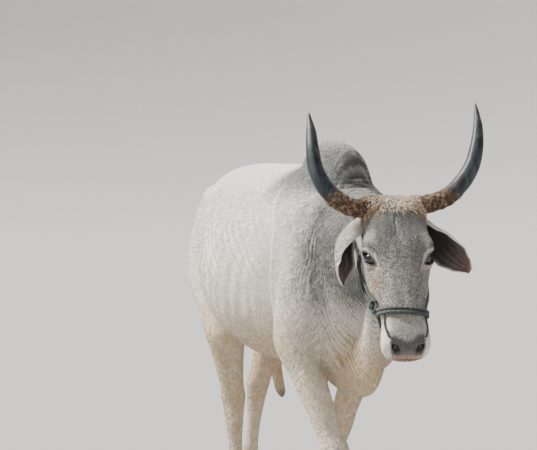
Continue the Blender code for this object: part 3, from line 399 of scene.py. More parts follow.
def trunkForm():
    return barrelForm(
        [
            (-0.655, -0.012, 0.88, 0.98, 0.77, 0.055, 2.0, 2.0),
            (-0.610, -0.010, 0.88, 1.10, 0.69, 0.125, 2.0, 2.0),
            (-0.520, -0.006, 0.90, 1.20, chestFloor + 0.015, 0.170, 2.0, 2.0),
            (-0.360, 0.000, 0.93, back - 0.01, chestFloor, shoulderHalf, 2.0, 2.0),
            (-0.180, 0.000, 0.93, back, chestFloor + 0.002, barrelHalf - 0.040, 1.9, 2.1),
            (0.000, 0.000, 0.92, back - 0.002, chestFloor + 0.010, barrelHalf, 1.9, 2.2),
            (0.140, 0.004, 0.93, back - 0.006, chestFloor + 0.030, barrelHalf - 0.004, 1.9, 2.1),
            (0.300, 0.010, 0.97, back - 0.012, chestFloor + 0.105, rumpHalf + 0.040, 1.9, 2.0),
            (0.440, 0.015, 1.00, back - 0.036, chestFloor + 0.160, rumpHalf, 2.0, 2.0),
            (0.560, 0.020, 1.00, back - 0.095, chestFloor + 0.210, 0.150, 2.0, 2.0),
            (0.640, 0.020, 0.99, back - 0.170, chestFloor + 0.270, 0.080, 2.0, 2.0),
        ],
        90,
        72,
    )


def humpForm():
    base = back - 0.08
    rows = []
    for share in np.linspace(-1.0, 1.0, 9):
        bulge = math.sqrt(max(0.0, 1 - abs(share) ** 2.4))
        top = base + 0.02 + (humpTop - base - 0.02) * bulge
        wide = 0.035 + 0.055 * bulge
        rows.append((humpY + 0.178 * share, -0.010, base, top, base - 0.06, wide, 1.9, 2.0))
    return barrelForm(rows, 40, 40)


def neckForm():
    return sweepForm(
        [
            (0.000, -0.380, 1.010, 0.185, 0.240, 0.300),
            (-0.020, -0.520, 1.020, 0.168, 0.210, 0.300),
            (-0.060, -0.660, 1.055, 0.132, 0.156, 0.240),
            (-0.100, -0.780, 1.090, 0.102, 0.115, 0.185),
            (-0.135, -0.880, 1.110, 0.092, 0.089, 0.150),
            (-0.155, -0.950, 1.115, 0.078, 0.073, 0.115),
        ],
        48,
        56,
    )


def dewlapForm():
    return barrelForm(
        [
            (-0.880, -0.135, 1.02, 1.07, 0.965, 0.030, 2.0, 2.0),
            (-0.810, -0.110, 0.92, 1.04, 0.845, 0.038, 2.0, 1.8),
            (-0.730, -0.075, 0.82, 0.98, 0.705, 0.045, 2.0, 1.7),
            (-0.655, -0.045, 0.75, 0.95, 0.610, 0.052, 2.0, 1.7),
            (-0.570, -0.028, 0.70, 0.88, 0.561, 0.070, 2.0, 2.0),
            (-0.480, -0.026, 0.67, 0.80, 0.558, 0.080, 2.0, 2.1),
            (-0.390, -0.018, 0.65, 0.75, 0.572, 0.074, 2.0, 2.1),
            (-0.310, -0.005, 0.64, 0.70, 0.600, 0.040, 2.0, 2.0),
        ],
        60,
        40,
    )


def inHead(form):
    return throughHead(form[0]), form[1]


def headForms():
    skull = barrelForm(
        [
            (0.050, 0, -0.070, -0.040, -0.120, 0.055, 2.0, 2.0),
            (0.022, 0, -0.055, -0.004, -0.165, 0.086, 2.4, 2.0),
            (-0.030, 0, -0.045, 0.010, -0.198, headHalf - 0.014, 2.8, 2.0),
            (-0.100, 0, -0.040, 0.011, -0.220, headHalf - 0.010, 3.0, 2.0),
            (-0.150, 0, -0.050, 0.009, -0.226, headHalf - 0.002, 2.9, 2.0),
            (-0.200, 0, -0.072, 0.003, -0.222, headHalf - 0.011, 2.3, 2.0),
            (-0.255, 0, -0.082, -0.009, -0.206, 0.085, 2.2, 2.1),
            (-0.315, 0, -0.087, -0.023, -0.186, 0.071, 2.2, 2.2),
            (-0.368, 0, -0.090, -0.035, -0.173, 0.063, 2.3, 2.3),
            (-0.410, 0, -0.098, -0.043, -0.170, muzzleHalf - 0.004, 2.4, 2.4),
            (-0.450, 0, -0.100, -0.052, -0.168, muzzleHalf, 2.5, 2.5),
            (-0.475, 0, -0.104, -0.064, -0.158, muzzleHalf - 0.008, 2.4, 2.4),
            (-0.487, 0, -0.108, -0.082, -0.142, 0.042, 2.0, 2.0),
        ],
        96,
        72,
    )
    mounds = [
        ((0.086, -0.154, -0.022), (0.020, 0.040, 0.020)),
        ((0.0765, -0.190, -0.0425), (0.0285, 0.037, 0.0285)),
        ((0.058, -0.215, -0.125), (0.030, 0.095, 0.066)),
        ((0.040, -0.455, -0.088), (0.029, 0.028, 0.024)),
        ((0.064, -0.012, -0.014), (0.043, 0.036, 0.031)),
        ((0.078, -0.034, -0.066), (0.032, 0.034, 0.034)),
    ]
    forms = [skull, ballForm((0, -0.425, -0.162), (0.048, 0.046, 0.026))]
    for side in (1, -1):
        forms += [ballForm((side * p[0], p[1], p[2]), radii) for p, radii in mounds]
    return [inHead(form) for form in forms]


tailRows = [
    (0.018, 0.560, 1.150, 0.030),
    (0.020, 0.622, 1.148, 0.028),
    (0.022, 0.672, 1.105, 0.024),
    (0.025, 0.700, 1.020, 0.020),
    (0.028, 0.708, 0.900, 0.0165),
    (0.031, 0.704, 0.760, 0.0145),
    (0.034, 0.696, switchTop - 0.01, 0.0125),
]


def smallForms():
    tail = sweepForm([(x, y, z, r, r, r) for x, y, z, r in tailRows], 60, 24, up=(1, 0, 0))
    sheath = levelForm(
        [
            (0.002, 0.185, 0.680, 0.040, 0.050),
            (0.002, 0.178, 0.620, 0.030, 0.040),
            (0.001, 0.158, 0.560, 0.024, 0.030),
            (0.000, 0.130, 0.510, 0.020, 0.024),
            (0.000, 0.108, 0.470, 0.017, 0.019),
            (0.000, 0.100, 0.452, 0.006, 0.007),
        ],
        40,
        28,
    )
    scrotum = levelForm(
        [
            (0.010, 0.430, 0.790, 0.020, 0.024),
            (0.010, 0.432, 0.730, 0.024, 0.027),
            (0.010, 0.434, 0.680, 0.036, 0.034),
            (0.010, 0.434, 0.635, 0.038, 0.036),
            (0.010, 0.433, 0.610, 0.018, 0.018),
        ],
        36,
        28,
    )
    return [tail, sheath, scrotum]


# One skin round all the forms

skinMake = {
    "voxel": 0.0048,
    "softRounds": 50,
    "headSoft": 0.12,
    "smallSoft": 0.10,
    "triangles": 152000,
    "neckKept": 0.45,
    "coatDepth": 0.0022,
}


def headNear(points):
    # 1 on the head, 0 from the middle of the neck back
    local = throughHead(points, inward=True)
    return ease(local[:, 1] - 0.55 * local[:, 2], 0.26, 0.10) * ease(local[:, 2], -0.275, -0.225)


def weighted(thing, name, weights):
    # a vertex group filled in 21 steps of weight
    group = thing.vertex_groups.new(name=name)
    level = np.rint(np.clip(weights, 0, 1) * 20).astype(int)
    for step in range(21):
        chosen = np.flatnonzero(level == step)
        if len(chosen):
            group.add(chosen.tolist(), step / 20, "REPLACE")


def smallNear(points):
    # 1 on the tail, sheath and scrotum below their roots
    x, y, z = points.T
    tail = ease(y, 0.625, 0.665)
    sheath = ease(np.abs(x - 0.001), 0.070, 0.055) * ease(np.abs(y - 0.14), 0.13, 0.09) * ease(z, 0.61, 0.585)
    scrotum = ease(np.abs(x - 0.010), 0.060, 0.048) * ease(np.abs(y - 0.433), 0.055, 0.045)
    scrotum = scrotum * ease(z, 0.755, 0.73)
    return np.maximum(tail, np.maximum(sheath, scrotum * (z > 0.5)))


# hook bones and pin bones: middle line, reach to each side, place fore and aft, height, three radii
hipMounds = [
    (0.012, 0.140, 0.330, 1.135, (0.065, 0.110, 0.062)),
    (0.020, 0.075, 0.585, 1.095, (0.045, 0.060, 0.065)),
]


def fusedSkin():
    forms = [trunkForm(), humpForm(), neckForm(), dewlapForm(), *headForms(), *smallForms()]
    for name, joints in legJoints.items():
        forms.append(legForm(joints, foreWidths if name.startswith("fore") else hindWidths))
    for middle, out, y, z, radii in hipMounds:
        forms += [ballForm((middle + side * out, y, z), radii) for side in (1, -1)]
    whole = meshPiece("skin", *joined(forms))
    remesh = whole.modifiers.new("fuse", "REMESH")
    remesh.mode = "VOXEL"
    remesh.voxel_size = skinMake["voxel"]
    baked(whole)
    points = pointsOf(whole)
    soft = 1 - (1 - skinMake["headSoft"]) * headNear(points)
    soft = np.minimum(soft, 1 - (1 - skinMake["smallSoft"]) * smallNear(points))
    weighted(whole, "soft", soft)
    smooth = whole.modifiers.new("soften", "SMOOTH")
    smooth.factor = 0.5
    smooth.iterations = skinMake["softRounds"]
    smooth.vertex_group = "soft"
    baked(whole)
    points = legDetails(bodyDetails(pointsOf(whole), normalsOf(whole)), normalsOf(whole))
    setPoints(whole, points)
    # the head keeps all its points, the neck and the shoulder's edge a share of them
    kept = skinMake["neckKept"] * ease(points[:, 1], -0.30, -0.42) * ease(points[:, 2], 0.58, 0.66)
    edge = 0.30 * np.exp(-((shoulderBack(points) / 0.03) ** 2)) * ease(points[:, 2], 0.66, 0.74)
    kept = np.maximum(kept, edge)
    kept = np.maximum(kept, headNear(points))
    whole.vertex_groups.clear()
    weighted(whole, "thin", (np.random.default_rng(1).random(len(points)) > kept).astype(float))
    thin = whole.modifiers.new("thin", "DECIMATE")
    thin.ratio = skinMake["triangles"] / (2 * len(whole.data.polygons))
    thin.vertex_group = "thin"
    thin.vertex_group_factor = 1.0
    baked(whole)
    whole.vertex_groups.clear()
    return whole


# Folds, muscles and bones that show through the skin


def pushed(points, mounds):
    # rows of x, y, z, three reaches and a height: a soft rise or hollow each, on both sides where x is not 0
    rise = np.zeros(len(points))
    for x, y, z, rx, ry, rz, height in mounds:
        for side in (1, -1) if x else (1,):
            away = (points - (side * x, y, z)) / (rx, ry, rz)
            rise += height * np.exp(-(away**2).sum(1))
    return rise


def lineDistance(points, path):
    # distance from every point to a bent line, and the share of the line's length at the nearest place
    path = np.array(path, float)
    lengths = np.linalg.norm(np.diff(path, axis=0), axis=1)
    run = np.concatenate([[0], np.cumsum(lengths)]) / lengths.sum()
    best, share = np.full(len(points), 9.0), np.zeros(len(points))
    for i in range(len(path) - 1):
        along = path[i + 1] - path[i]
        t = np.clip((points - path[i]) @ along / (along @ along), 0, 1)
        far = np.linalg.norm(points - path[i] - t[:, None] * along, axis=1)
        nearer = far < best
        best = np.where(nearer, far, best)
        share = np.where(nearer, run[i] + t * (run[i + 1] - run[i]), share)
    return best, share


def creased(points, creases):
    # each crease is a path, its half width, its depth, and whether it is on both sides; the ends fade out
    rise = np.zeros(len(points))
    for path, width, depth, both in creases:
        for side in (1, -1) if both else (1,):
            near = np.abs(points - np.mean(path, axis=0) * (side, 1, 1)).max(1) < 0.5
            far, share = lineDistance(points[near], np.array(path) * (side, 1, 1))
            fade = ease(share, 0.0, 0.18) * ease(share, 1.0, 0.82)
            lip = 0.45 * np.exp(-(((far - 1.9 * width) / (0.9 * width)) ** 2))
            rise[near] += depth * fade * (lip - np.exp(-((far / width) ** 2)))
    return rise


trunkShape = {
    # shoulder blade, upper arm, point of the shoulder, ribs behind it, flank hollow, hook bone, thigh, pin bone,
    # brisket, hollow beside the tail's root
    "mounds": [
        (0.185, -0.405, 1.040, 0.12, 0.070, 0.150, 0.008),
        (0.200, -0.365, 0.850, 0.12, 0.066, 0.085, 0.008),
        (0.160, -0.490, 0.880, 0.10, 0.050, 0.070, 0.006),
        (0.250, -0.205, 1.000, 0.10, 0.050, 0.170, 0.005),
        (0.190, 0.235, 1.135, 0.09, 0.060, 0.045, -0.012),
        (0.150, 0.335, 1.150, 0.05, 0.045, 0.032, 0.006),
        (0.170, 0.430, 0.880, 0.10, 0.070, 0.100, 0.006),
        (0.085, 0.585, 1.090, 0.04, 0.040, 0.050, 0.005),
        (0.075, -0.520, 0.690, 0.05, 0.060, 0.060, 0.006),
        (0.060, 0.610, 1.150, 0.03, 0.040, 0.030, -0.006),
    ],
    "creases": [
        ([(0.08, -0.500, 1.20), (0.14, -0.525, 1.08), (0.17, -0.540, 0.95), (0.15, -0.560, 0.84)],
         0.026, 0.0045, True),
        ([(0.15, 0.120, 0.70), (0.20, 0.190, 0.80), (0.21, 0.255, 0.95), (0.18, 0.300, 1.06)],
         0.020, 0.0100, True),
        ([(0.10, 0.545, 1.04), (0.13, 0.530, 0.90), (0.13, 0.505, 0.76)], 0.014, 0.0045, True),
        ([(0.16, 0.340, 1.04), (0.20, 0.370, 0.93), (0.19, 0.360, 0.80)], 0.018, 0.0030, True),
        ([(-0.145, -0.500, 0.790), (-0.118, -0.548, 0.710), (-0.095, -0.548, 0.640)], 0.010, 0.0095, False),
    ],
    # rear edge of the shoulder: height and place fore and aft, then how far it stands out and the hollow behind
    "shoulderRow": [
        (0.60, -0.318), (0.66, -0.315), (0.75, -0.300), (0.86, -0.291),
        (0.98, -0.290), (1.08, -0.275), (1.20, -0.213), (1.27, -0.150),
    ],
    "shoulderLip": 0.0135,
    "shoulderHollow": 0.0150,
    "rib": 0.0016,
    "ribStep": 0.058,
    "neckFold": 0.0044,
    "neckFoldStep": 0.0195,
    "humpFold": 0.0042,
    "ripple": 0.0040,
}


def shoulderBack(points):
    # distance behind the rear edge of the shoulder
    row = np.array(trunkShape["shoulderRow"])
    return points[:, 1] - np.interp(points[:, 2], row[:, 0], row[:, 1]) - 0.005 * waver(points, 14, 71)


def shoulderStep(points):
    back = shoulderBack(points)
    high, wide = points[:, 2], np.abs(points[:, 0])
    zone = ease(high, 0.64, 0.74) * ease(high, 1.27, 1.15) * ease(wide, 0.09, 0.15)
    lip = trunkShape["shoulderLip"] * ease(back, 0.005, -0.005) * np.exp(np.minimum(back, 0) / 0.050)
    hollow = trunkShape["shoulderHollow"] * ease(back, -0.005, 0.005) * np.exp(-np.maximum(back, 0) / 0.024)
    return zone * (lip - hollow)


def bodyDetails(points, normals):
    x, y, z = points.T
    shape = trunkShape
    rise = pushed(points, shape["mounds"]) + creased(points, shape["creases"]) + shoulderStep(points)
    wander = waver(points, 9, 3)
    # ribs
    zone = ease(y, -0.24, -0.15) * ease(y, 0.30, 0.18) * ease(z, 0.72, 0.82) * ease(z, 1.16, 1.06)
    rise += shape["rib"] * zone * np.sin(2 * math.pi * (y + 0.28 * z) / shape["ribStep"] + wander)
    # upright folds round the neck that lean forwards on the dewlap
    lean = y + 0.42 * np.maximum(0, 0.95 - z) + 0.006 * wander + 0.004 * waver(points, 26, 8)
    step = shape["neckFoldStep"] * (1 + 0.15 * waver(points * (1, 0.2, 0.2), 6, 4))
    lean = lean + 0.007 * waver(points, 11, 9)
    fold = 1 - np.abs(np.sin(math.pi * lean / step)) ** 0.7
    along = 0.15 + 0.85 * ease(waver(points * (1.0, 0.6, 0.35), 14, 11), -0.45, 0.45)
    zone = ease(y, -0.40, -0.54) * ease(y, -0.99, -0.90) * ease(z, 0.60, 0.68) * (1 - headNear(points))
    zone *= 0.34 + 0.66 * ease(z, 1.14, 0.98)
    rise -= shape["neckFold"] * zone * fold * along
    # fine wrinkles where the hump meets the neck
    far = np.linalg.norm((points - (0.0, -0.515, 1.225)) / (1.3, 1.0, 0.75), axis=1)
    zone = ease(far, 0.10, 0.04)
    fold = 1 - np.abs(np.sin(math.pi * (z + 0.35 * y + 0.004 * wander) / 0.017)) ** 0.7
    rise -= shape["humpFold"] * zone * fold
    # loose slanted ripples of skin on the side and behind the shoulder
    zone = (
        ease(np.abs(x), 0.10, 0.16) * ease(y, -0.28, -0.18) * ease(y, 0.18, 0.02)
        * ease(z, 0.88, 0.98) * ease(z, 1.22, 1.12)
    )
    zone *= ease(waver(points, 11, 21), -0.2, 0.5)
    slant = 0.75 * y - 0.66 * z + 0.01 * waver(points, 16, 5)
    rise += shape["ripple"] * zone * np.sin(2 * math.pi * slant / 0.030)
    # shallow unevenness everywhere
    rise += 0.0012 * waver(points, 17, 6) + 0.0006 * waver(points, 38, 7)
    return points + normals * rise[:, None]


def tendonHollows(places, along):
    # soft hollows down both sides of the leg below the knee or hock
    return [(place, side * 0.026, along, 0.012, -0.003) for side in (1, -1) for place in places]


legShape = {
    # place along the leg in joints, offset across, offset fore and aft, reach, height
    "fore": [
        (2.06, 0.0, 0.055, 0.030, 0.006), (2.90, 0.0, -0.040, 0.026, 0.004),
        (3.02, 0.0, 0.050, 0.016, 0.008), (2.95, 0.045, 0.0, 0.020, 0.002),
        (2.95, -0.045, 0.0, 0.020, 0.002), (3.14, 0.0, -0.040, 0.020, -0.003),
        *tendonHollows((3.50, 3.60, 3.72), 0.012),
        (4.00, 0.0, -0.036, 0.018, 0.003), (4.30, 0.0, 0.036, 0.016, -0.003),
    ],
    "hind": [
        (2.96, 0.0, 0.060, 0.020, 0.009), (2.80, 0.034, 0.028, 0.018, -0.006),
        (2.80, -0.034, 0.028, 0.018, -0.006), (3.02, 0.040, -0.010, 0.018, 0.003),
        (3.02, -0.040, -0.010, 0.018, 0.003),
        *tendonHollows((3.46, 3.58, 3.72), 0.014),
        (4.00, 0.0, -0.036, 0.018, 0.003), (4.30, 0.0, 0.036, 0.016, -0.003),
        (2.30, 0.0, -0.060, 0.030, 0.004),
    ],
}


def legDetails(points, normals):
    # tendons, knee, hock and fetlock of each leg
    rise = np.zeros(len(points))
    for name, joints in legJoints.items():
        joints = np.array(joints)
        for place, across, along, reach, height in legShape["fore" if name.startswith("fore") else "hind"]:
            index = min(int(place), len(joints) - 2)
            centre = joints[index] + (place - index) * (joints[index + 1] - joints[index])
            centre = centre + (across, along, 0)
            rise += height * np.exp(-((points - centre) ** 2).sum(1) / reach**2)
    return points + normals * rise[:, None]


eyeLook, eyeSlant = (0.80, -0.25, 0.55), (-0.36, -0.89, 0.27)
eyeHalf, eyeRise = 0.0300, 0.0128


def eyeFrame(side):
    # the eye's centre, the way it looks, the way to its inner corner and the way up, in the head's frame
    look = np.array([side * eyeLook[0], eyeLook[1], eyeLook[2]])
    look /= np.linalg.norm(look)
    inner = np.array([side * eyeSlant[0], eyeSlant[1], eyeSlant[2]])
    inner -= (inner @ look) * look
    inner /= np.linalg.norm(inner)
    return np.array([side * eyePlace[0], eyePlace[1], eyePlace[2]]), look, inner, -side * np.cross(look, inner)


def eyeMeasure(local, side):
    # place in the eye's frame, and how far out from the almond of the lids, 1 on its edge
    centre, look, inner, up = eyeFrame(side)
    q = local - centre
    u, v, w = q @ inner, q @ up, q @ look
    c = u / eyeHalf
    tall = eyeRise * np.maximum(1 - 0.30 * c * c, 0.35)
    ring = np.sqrt(c * c + (v / tall) ** 2)
    ring = np.where((w > 0) & (np.abs(local[:, 0]) > 0.02) & (local[:, 0] * side > 0), ring, 99.0)
    return u, v, w, ring


foreheadCrease = [
    (-0.003, -0.028, 0.011), (-0.0075, -0.050, 0.011), (-0.0030, -0.072, 0.011),
    (-0.0085, -0.095, 0.011), (-0.0055, -0.118, 0.011), (-0.0105, -0.146, 0.010),
]
faceShape = {
    # temple, cheek ridge, hollow above it, hollow of the nose's side, jaw muscle, edge of the nose bone,
    # side of the lip, hollow inside the brow, rise of the forehead, rise over the nostril
    "mounds": [
        (0.097, -0.090, -0.048, 0.020, 0.034, 0.022, -0.0045),
        (0.082, -0.262, -0.100, 0.016, 0.040, 0.013, 0.0035),
        (0.068, -0.318, -0.058, 0.018, 0.050, 0.022, -0.0035),
        (0.074, -0.330, -0.130, 0.018, 0.050, 0.020, -0.0030),
        (0.082, -0.170, -0.150, 0.020, 0.050, 0.040, 0.0040),
        (0.034, -0.330, -0.010, 0.010, 0.080, 0.012, 0.0014),
        (0.055, -0.400, -0.125, 0.020, 0.030, 0.014, 0.0020),
        (0.050, -0.205, 0.004, 0.014, 0.035, 0.014, -0.0022),
        (0.060, -0.075, 0.008, 0.024, 0.040, 0.016, 0.0016),
        (0.035, -0.430, -0.055, 0.014, 0.018, 0.012, 0.0015),
    ],
    "creases": [
        (foreheadCrease, 0.0024, 0.0040, False),
    ],
}


def headDetails(points, normals):
    local = throughHead(points, inward=True)
    turn = np.array(head.to_3x3()).T / 0.97**2
    ways = unit(normals @ turn.T)
    near = np.linalg.norm(local - (0, -0.22, -0.08), axis=1) < 0.34
    rise = pushed(local, faceShape["mounds"]) + creased(local, faceShape["creases"])
    x, y, z = local.T
    # line of the mouth, with a fuller lip on each side of it
    level = z + 0.134 + 0.004 * ease(y, -0.45, -0.37)
    zone = ease(y, -0.362, -0.392) * (np.abs(z + 0.135) < 0.03)
    fuller = 0.0018 * np.exp(-(((np.abs(level) - 0.0085) / 0.0045) ** 2))
    rise += zone * (fuller - 0.0058 * np.exp(-((level / 0.0024) ** 2)))
    # middle groove of the nose pad, and its cobbles
    pad = padMask(local)
    rise -= 0.0016 * np.exp(-((x / 0.0028) ** 2)) * ease(y, -0.455, -0.470) * ease(z, -0.135, -0.125)
    rise += 0.0005 * pad * waver(local, 420, 13)
    # curved hair lines over the brow
    for side in (1, -1):
        u, v, w, ring = eyeMeasure(local, side)
        arch = (v > -0.002) * ease(ring, 1.7, 2.0) * ease(ring, 4.4, 3.2)
        rise += 0.0007 * arch * np.sin(ring * 9.0 + 1.2 * waver(local, 40, 2))
    local = local + ways * (rise * near)[:, None]
    for side in (1, -1):
        centre, look, inner, up = eyeFrame(side)
        u, v, w, ring = eyeMeasure(local, side)
        gape = 1 - ease(ring, 0.92, 1.10)
        inside = np.sqrt(np.maximum(eyeRadius**2 - u * u - v * v, 0.0001)) - 0.0040
        lid = 0.0017 * np.exp(-(((ring - 1.20) / 0.13) ** 2))
        upper = ease(v, -0.003, 0.003)
        lid -= (0.0010 + 0.0014 * upper) * np.exp(-(((ring - 1.52) / 0.12) ** 2))
        lid += 0.0014 * upper * np.exp(-(((ring - 1.85) / 0.20) ** 2))
        step = np.where(gape > 0, gape * (inside - w), 0.0) + (1 - gape) * lid
        local = local + np.where(ring < 3, step, 0.0)[:, None] * look
        # nostril, a slanted comma sunk into the front of the muzzle
        a = noseMeasure(local, side)
        hole = (1 - ease(a, 0.62, 1.12)) * (local[:, 1] < -0.435) * (ways[:, 1] < 0.55)
        rim = 0.0022 * np.exp(-(((a - 1.42) / 0.24) ** 2)) * (local[:, 1] < -0.44)
        local = local + hole[:, None] * np.array([side * 0.004, 0.020, 0.004]) + ways * rim[:, None]
    return throughHead(local)


def noseMeasure(local, side):
    # how far out from the nostril's edge, 1 on it
    x, z = side * local[:, 0] - 0.0335, local[:, 2] + 0.0870
    tilt = math.radians(56)
    c, s = x * math.cos(tilt) + z * math.sin(tilt), -x * math.sin(tilt) + z * math.cos(tilt)
    s = s + 0.10 * c * c / 0.012
    return np.sqrt((c / 0.0165) ** 2 + (s / 0.0095) ** 2)


def padMask(local):
    # bare dark skin round and between the nostrils, its edge wandering
    x, y, z = local.T
    stray = 0.0045 * waver(local * (1.0, 0.3, 1.0), 60, 44) + 0.002 * waver(local, 210, 45)
    wide = 0.054 - 0.35 * np.maximum(0, -0.098 - z) + stray
    top = -0.056 - 0.008 * np.exp(-((x / 0.014) ** 2)) + stray
    return (
        ease(y, -0.444, -0.460) * ease(np.abs(x), wide, wide - 0.008)
        * ease(z, -0.121, -0.111) * ease(z, top + 0.005, top - 0.005)
    )


def refined(thing):
    # the eyes and the muzzle get edges of half the length
    local = throughHead(pointsOf(thing), inward=True)
    x, y, z = local.T
    eyes = (np.abs(y + 0.19) < 0.050) & (np.abs(x) > 0.040) & (z > -0.10) & (z < 0.02)
    near = (np.abs(x) < 0.14) & (z > -0.25) & (z < 0.06) & (eyes | ((y < -0.375) & (y > -0.52)))
    shape = bmesh.new()
    shape.from_mesh(thing.data)
    shape.verts.ensure_lookup_table()
    edges = [edge for edge in shape.edges if near[edge.verts[0].index] and near[edge.verts[1].index]]
    bmesh.ops.subdivide_edges(shape, edges=edges, cuts=1, use_grid_fill=True)
    bmesh.ops.triangulate(shape, faces=shape.faces)
    shape.to_mesh(thing.data)
    shape.free()
    return thing


# Ears, a leaf curled tighter towards its root, with a rolled rim and soft ribs inside

earShape = {
    "half": 0.046,
    "thick": 0.0062,
    "paths": {
        1: [
            (0.084, -0.044, -0.060), (0.110, -0.094, -0.063), (0.140, -0.150, -0.058),
            (0.172, -0.194, -0.055), (0.206, -0.226, -0.061),
        ],
        -1: [
            (-0.080, -0.030, -0.068), (-0.104, -0.054, -0.076), (-0.123, -0.099, -0.094),
            (-0.125, -0.154, -0.116), (-0.145, -0.210, -0.143),
        ],
    },
    # where the hollow faces at the root, and from the middle on
    "opens": {
        1: [(-0.72, -0.50, 0.47), (-0.72, -0.50, 0.47)],
        -1: [(0.872, -0.123, -0.473), (0.803, -0.455, 0.386)],
    },
    # place along the ear, share of the full half width, curl of the cup in degrees to each side
    "rows": [
        (0.00, 0.46, 118), (0.15, 0.60, 108), (0.35, 0.92, 98), (0.55, 1.00, 78),
        (0.75, 0.84, 60), (0.90, 0.52, 48), (1.00, 0.16, 40),
    ],
    "rings": 52,
    "sides": 36,
}


def earPiece(side):
    # points, faces, place across from -1 to 1, place along, 1 on the hollow side, and the ear's own direction
    count, half = earShape["rings"], earShape["sides"]
    path = smoothRows(throughHead(earShape["paths"][side]), count)
    turned = np.clip(np.linspace(-0.2, 1.8, count), 0, 1)[:, None]
    opens = np.array(earShape["opens"][side]) @ np.array(head.to_3x3()).T
    opens = opens[0] * (1 - turned) + opens[1] * turned
    tangent = unit(np.gradient(path, axis=0))
    facing = unit(opens - (tangent * opens).sum(1)[:, None] * tangent)
    across = np.cross(tangent, facing)
    share = np.linspace(0, 1, count)
    rows = np.array(earShape["rows"], float)
    wide = earShape["half"] * np.interp(share, rows[:, 0], rows[:, 1])
    curl = np.radians(np.interp(share, rows[:, 0], rows[:, 2]))
    radius = wide / np.sin(np.minimum(curl, math.pi / 2))
    thick = earShape["thick"] * (1 - 0.45 * share)
    u = np.sin(np.linspace(-math.pi / 2, math.pi / 2, half))
    rim = np.sqrt(np.maximum(1 - np.abs(u) ** 8, 0.02))
    wave = 0.0016 * np.sin(share[:, None] * 23 + 2 * u) * np.abs(u) ** 3
    ribs = (
        0.0011 * np.cos(u * 11) ** 2 * (1 - np.abs(u) ** 4)
        * ease(share, 0.05, 0.3)[:, None] * ease(share, 1.0, 0.8)[:, None]
    )
    turn = curl[:, None] * u
    out = across[:, None] * np.sin(turn)[:, :, None] - facing[:, None] * np.cos(turn)[:, :, None]
    middle = thick[:, None] * 0.5
    outer = path[:, None] + out * (radius[:, None] + middle + middle * rim + wave)[:, :, None]
    inner = path[:, None] + out * (radius[:, None] + middle - middle * rim + wave - ribs)[:, :, None]
    rings = np.concatenate([outer, inner[:, ::-1]], axis=1)
    points, faces = closedLoft(rings)
    ends = np.array([[0, 0, 0], [0, 1, 0]])
    info = np.stack(
        [
            np.repeat(np.concatenate([u, u[::-1]])[None], count, axis=0).ravel(),
            np.repeat(share, 2 * half),
            np.tile(np.concatenate([np.zeros(half), np.ones(half)]), count),
        ],
        axis=1,
    )
    ways = np.concatenate([np.repeat(tangent, 2 * half, axis=0), tangent[:1], tangent[-1:]])
    return points, faces, np.concatenate([info, ends]), ways


def trianglesOf(faces):
    out = []
    for f in faces:
        out.append(f[:, :3])
        if f.shape[1] == 4:
            out.append(f[:, [0, 2, 3]])
    return np.concatenate(out)


def facedOut(points, tris):
    # turns a closed shell the right way round by the sign of its volume
    a, b, c = points[tris[:, 0]], points[tris[:, 1]], points[tris[:, 2]]
    return tris if (np.cross(a, b) * c).sum() > 0 else tris[:, ::-1]


def pointNormals(points, tris):
    a, b, c = points[tris[:, 0]], points[tris[:, 1]], points[tris[:, 2]]
    face = np.cross(b - a, c - a)
    corners = tris.ravel()
    total = [np.bincount(corners, np.repeat(face[:, k], 3), len(points)) for k in range(3)]
    return unit(np.stack(total, axis=1))


# Markings, with painted shade and highlight, and the lie of the hair, worked out at every point of the skin

tones = {
    "white": (0.82, 0.795, 0.735),
    # the grey is darker than the hair alone, so that it carries painted shade on the neck, hump and face
    "grey": (0.074, 0.077, 0.074),
    "tan": (0.57, 0.425, 0.265),
    "dark": (0.020, 0.020, 0.021),
    "pink": (0.27, 0.105, 0.052),
    "rust": (0.52, 0.285, 0.130),
}


def gauss(points, centre, reach):
    return np.exp(-(((points - np.array(centre)) / np.array(reach)) ** 2).sum(1))


def bodyTones(points):
    # grey and tan of the body: the neck is dark grey below its crest and paler towards the dewlap,
    # the hump grey all over, the legs and belly tan; part of the neck's and hump's grey is painted shade,
    # the hump's paler top a painted highlight, and a tan patch on the brisket painted shade
    x, y, z = points.T
    wander = waver(points, 7, 31)
    # the depth of this grey, and of the grey patches before the hump, is partly grey hair and partly painted shade
    front = ease(y + 0.06 * wander + 0.02 * waver(points, 23, 36), -0.31, -0.56)
    grey = front * (0.20 + 0.74 * ease(z + 0.03 * wander, 0.79, 0.95)) * ease(z, 0.60, 0.78)
    # the hump's grey thins towards its top: a painted highlight where the light falls from above
    hump = ease(z, 1.14, 1.24) * ease(y, -0.09, -0.19) * (0.92 - 0.22 * ease(z, 1.325, 1.375))
    grey = np.maximum(grey, hump)
    grey = np.maximum(grey, 0.50 * gauss(points, (-0.10, -0.42, 1.13), (0.2, 0.11, 0.16)))
    grey = np.maximum(grey, 0.30 * gauss(points, (0.10, -0.42, 1.10), (0.2, 0.13, 0.18)))
    # thin upright streaks of darker and paler hair, partly painted shade of the neck's folds
    upright = y + 0.3 * np.maximum(0, 0.95 - z) + 0.010 * waver(points, 18, 33)
    grey = grey * (1 + 0.20 * np.sin(2 * math.pi * upright / 0.017) * front)
    tan = 0.72 * ease(z, 0.90, 0.66) + 0.14 * ease(z, 1.10, 0.88)
    foreleg = ease(np.abs(x + 0.16), 0.07, 0.04) * ease(y, -0.30, -0.34) * ease(z, 0.90, 0.80)
    tan = tan * (1 - 0.22 * ease(z, 0.45, 0.2)) * (1 - 0.35 * foreleg)
    # the tan patch on the brisket between the forelegs is painted shade, warmed by light thrown up from the ground
    return grey, tan + 0.25 * gauss(points, (-0.09, -0.58, 0.70), (0.09, 0.10, 0.12))


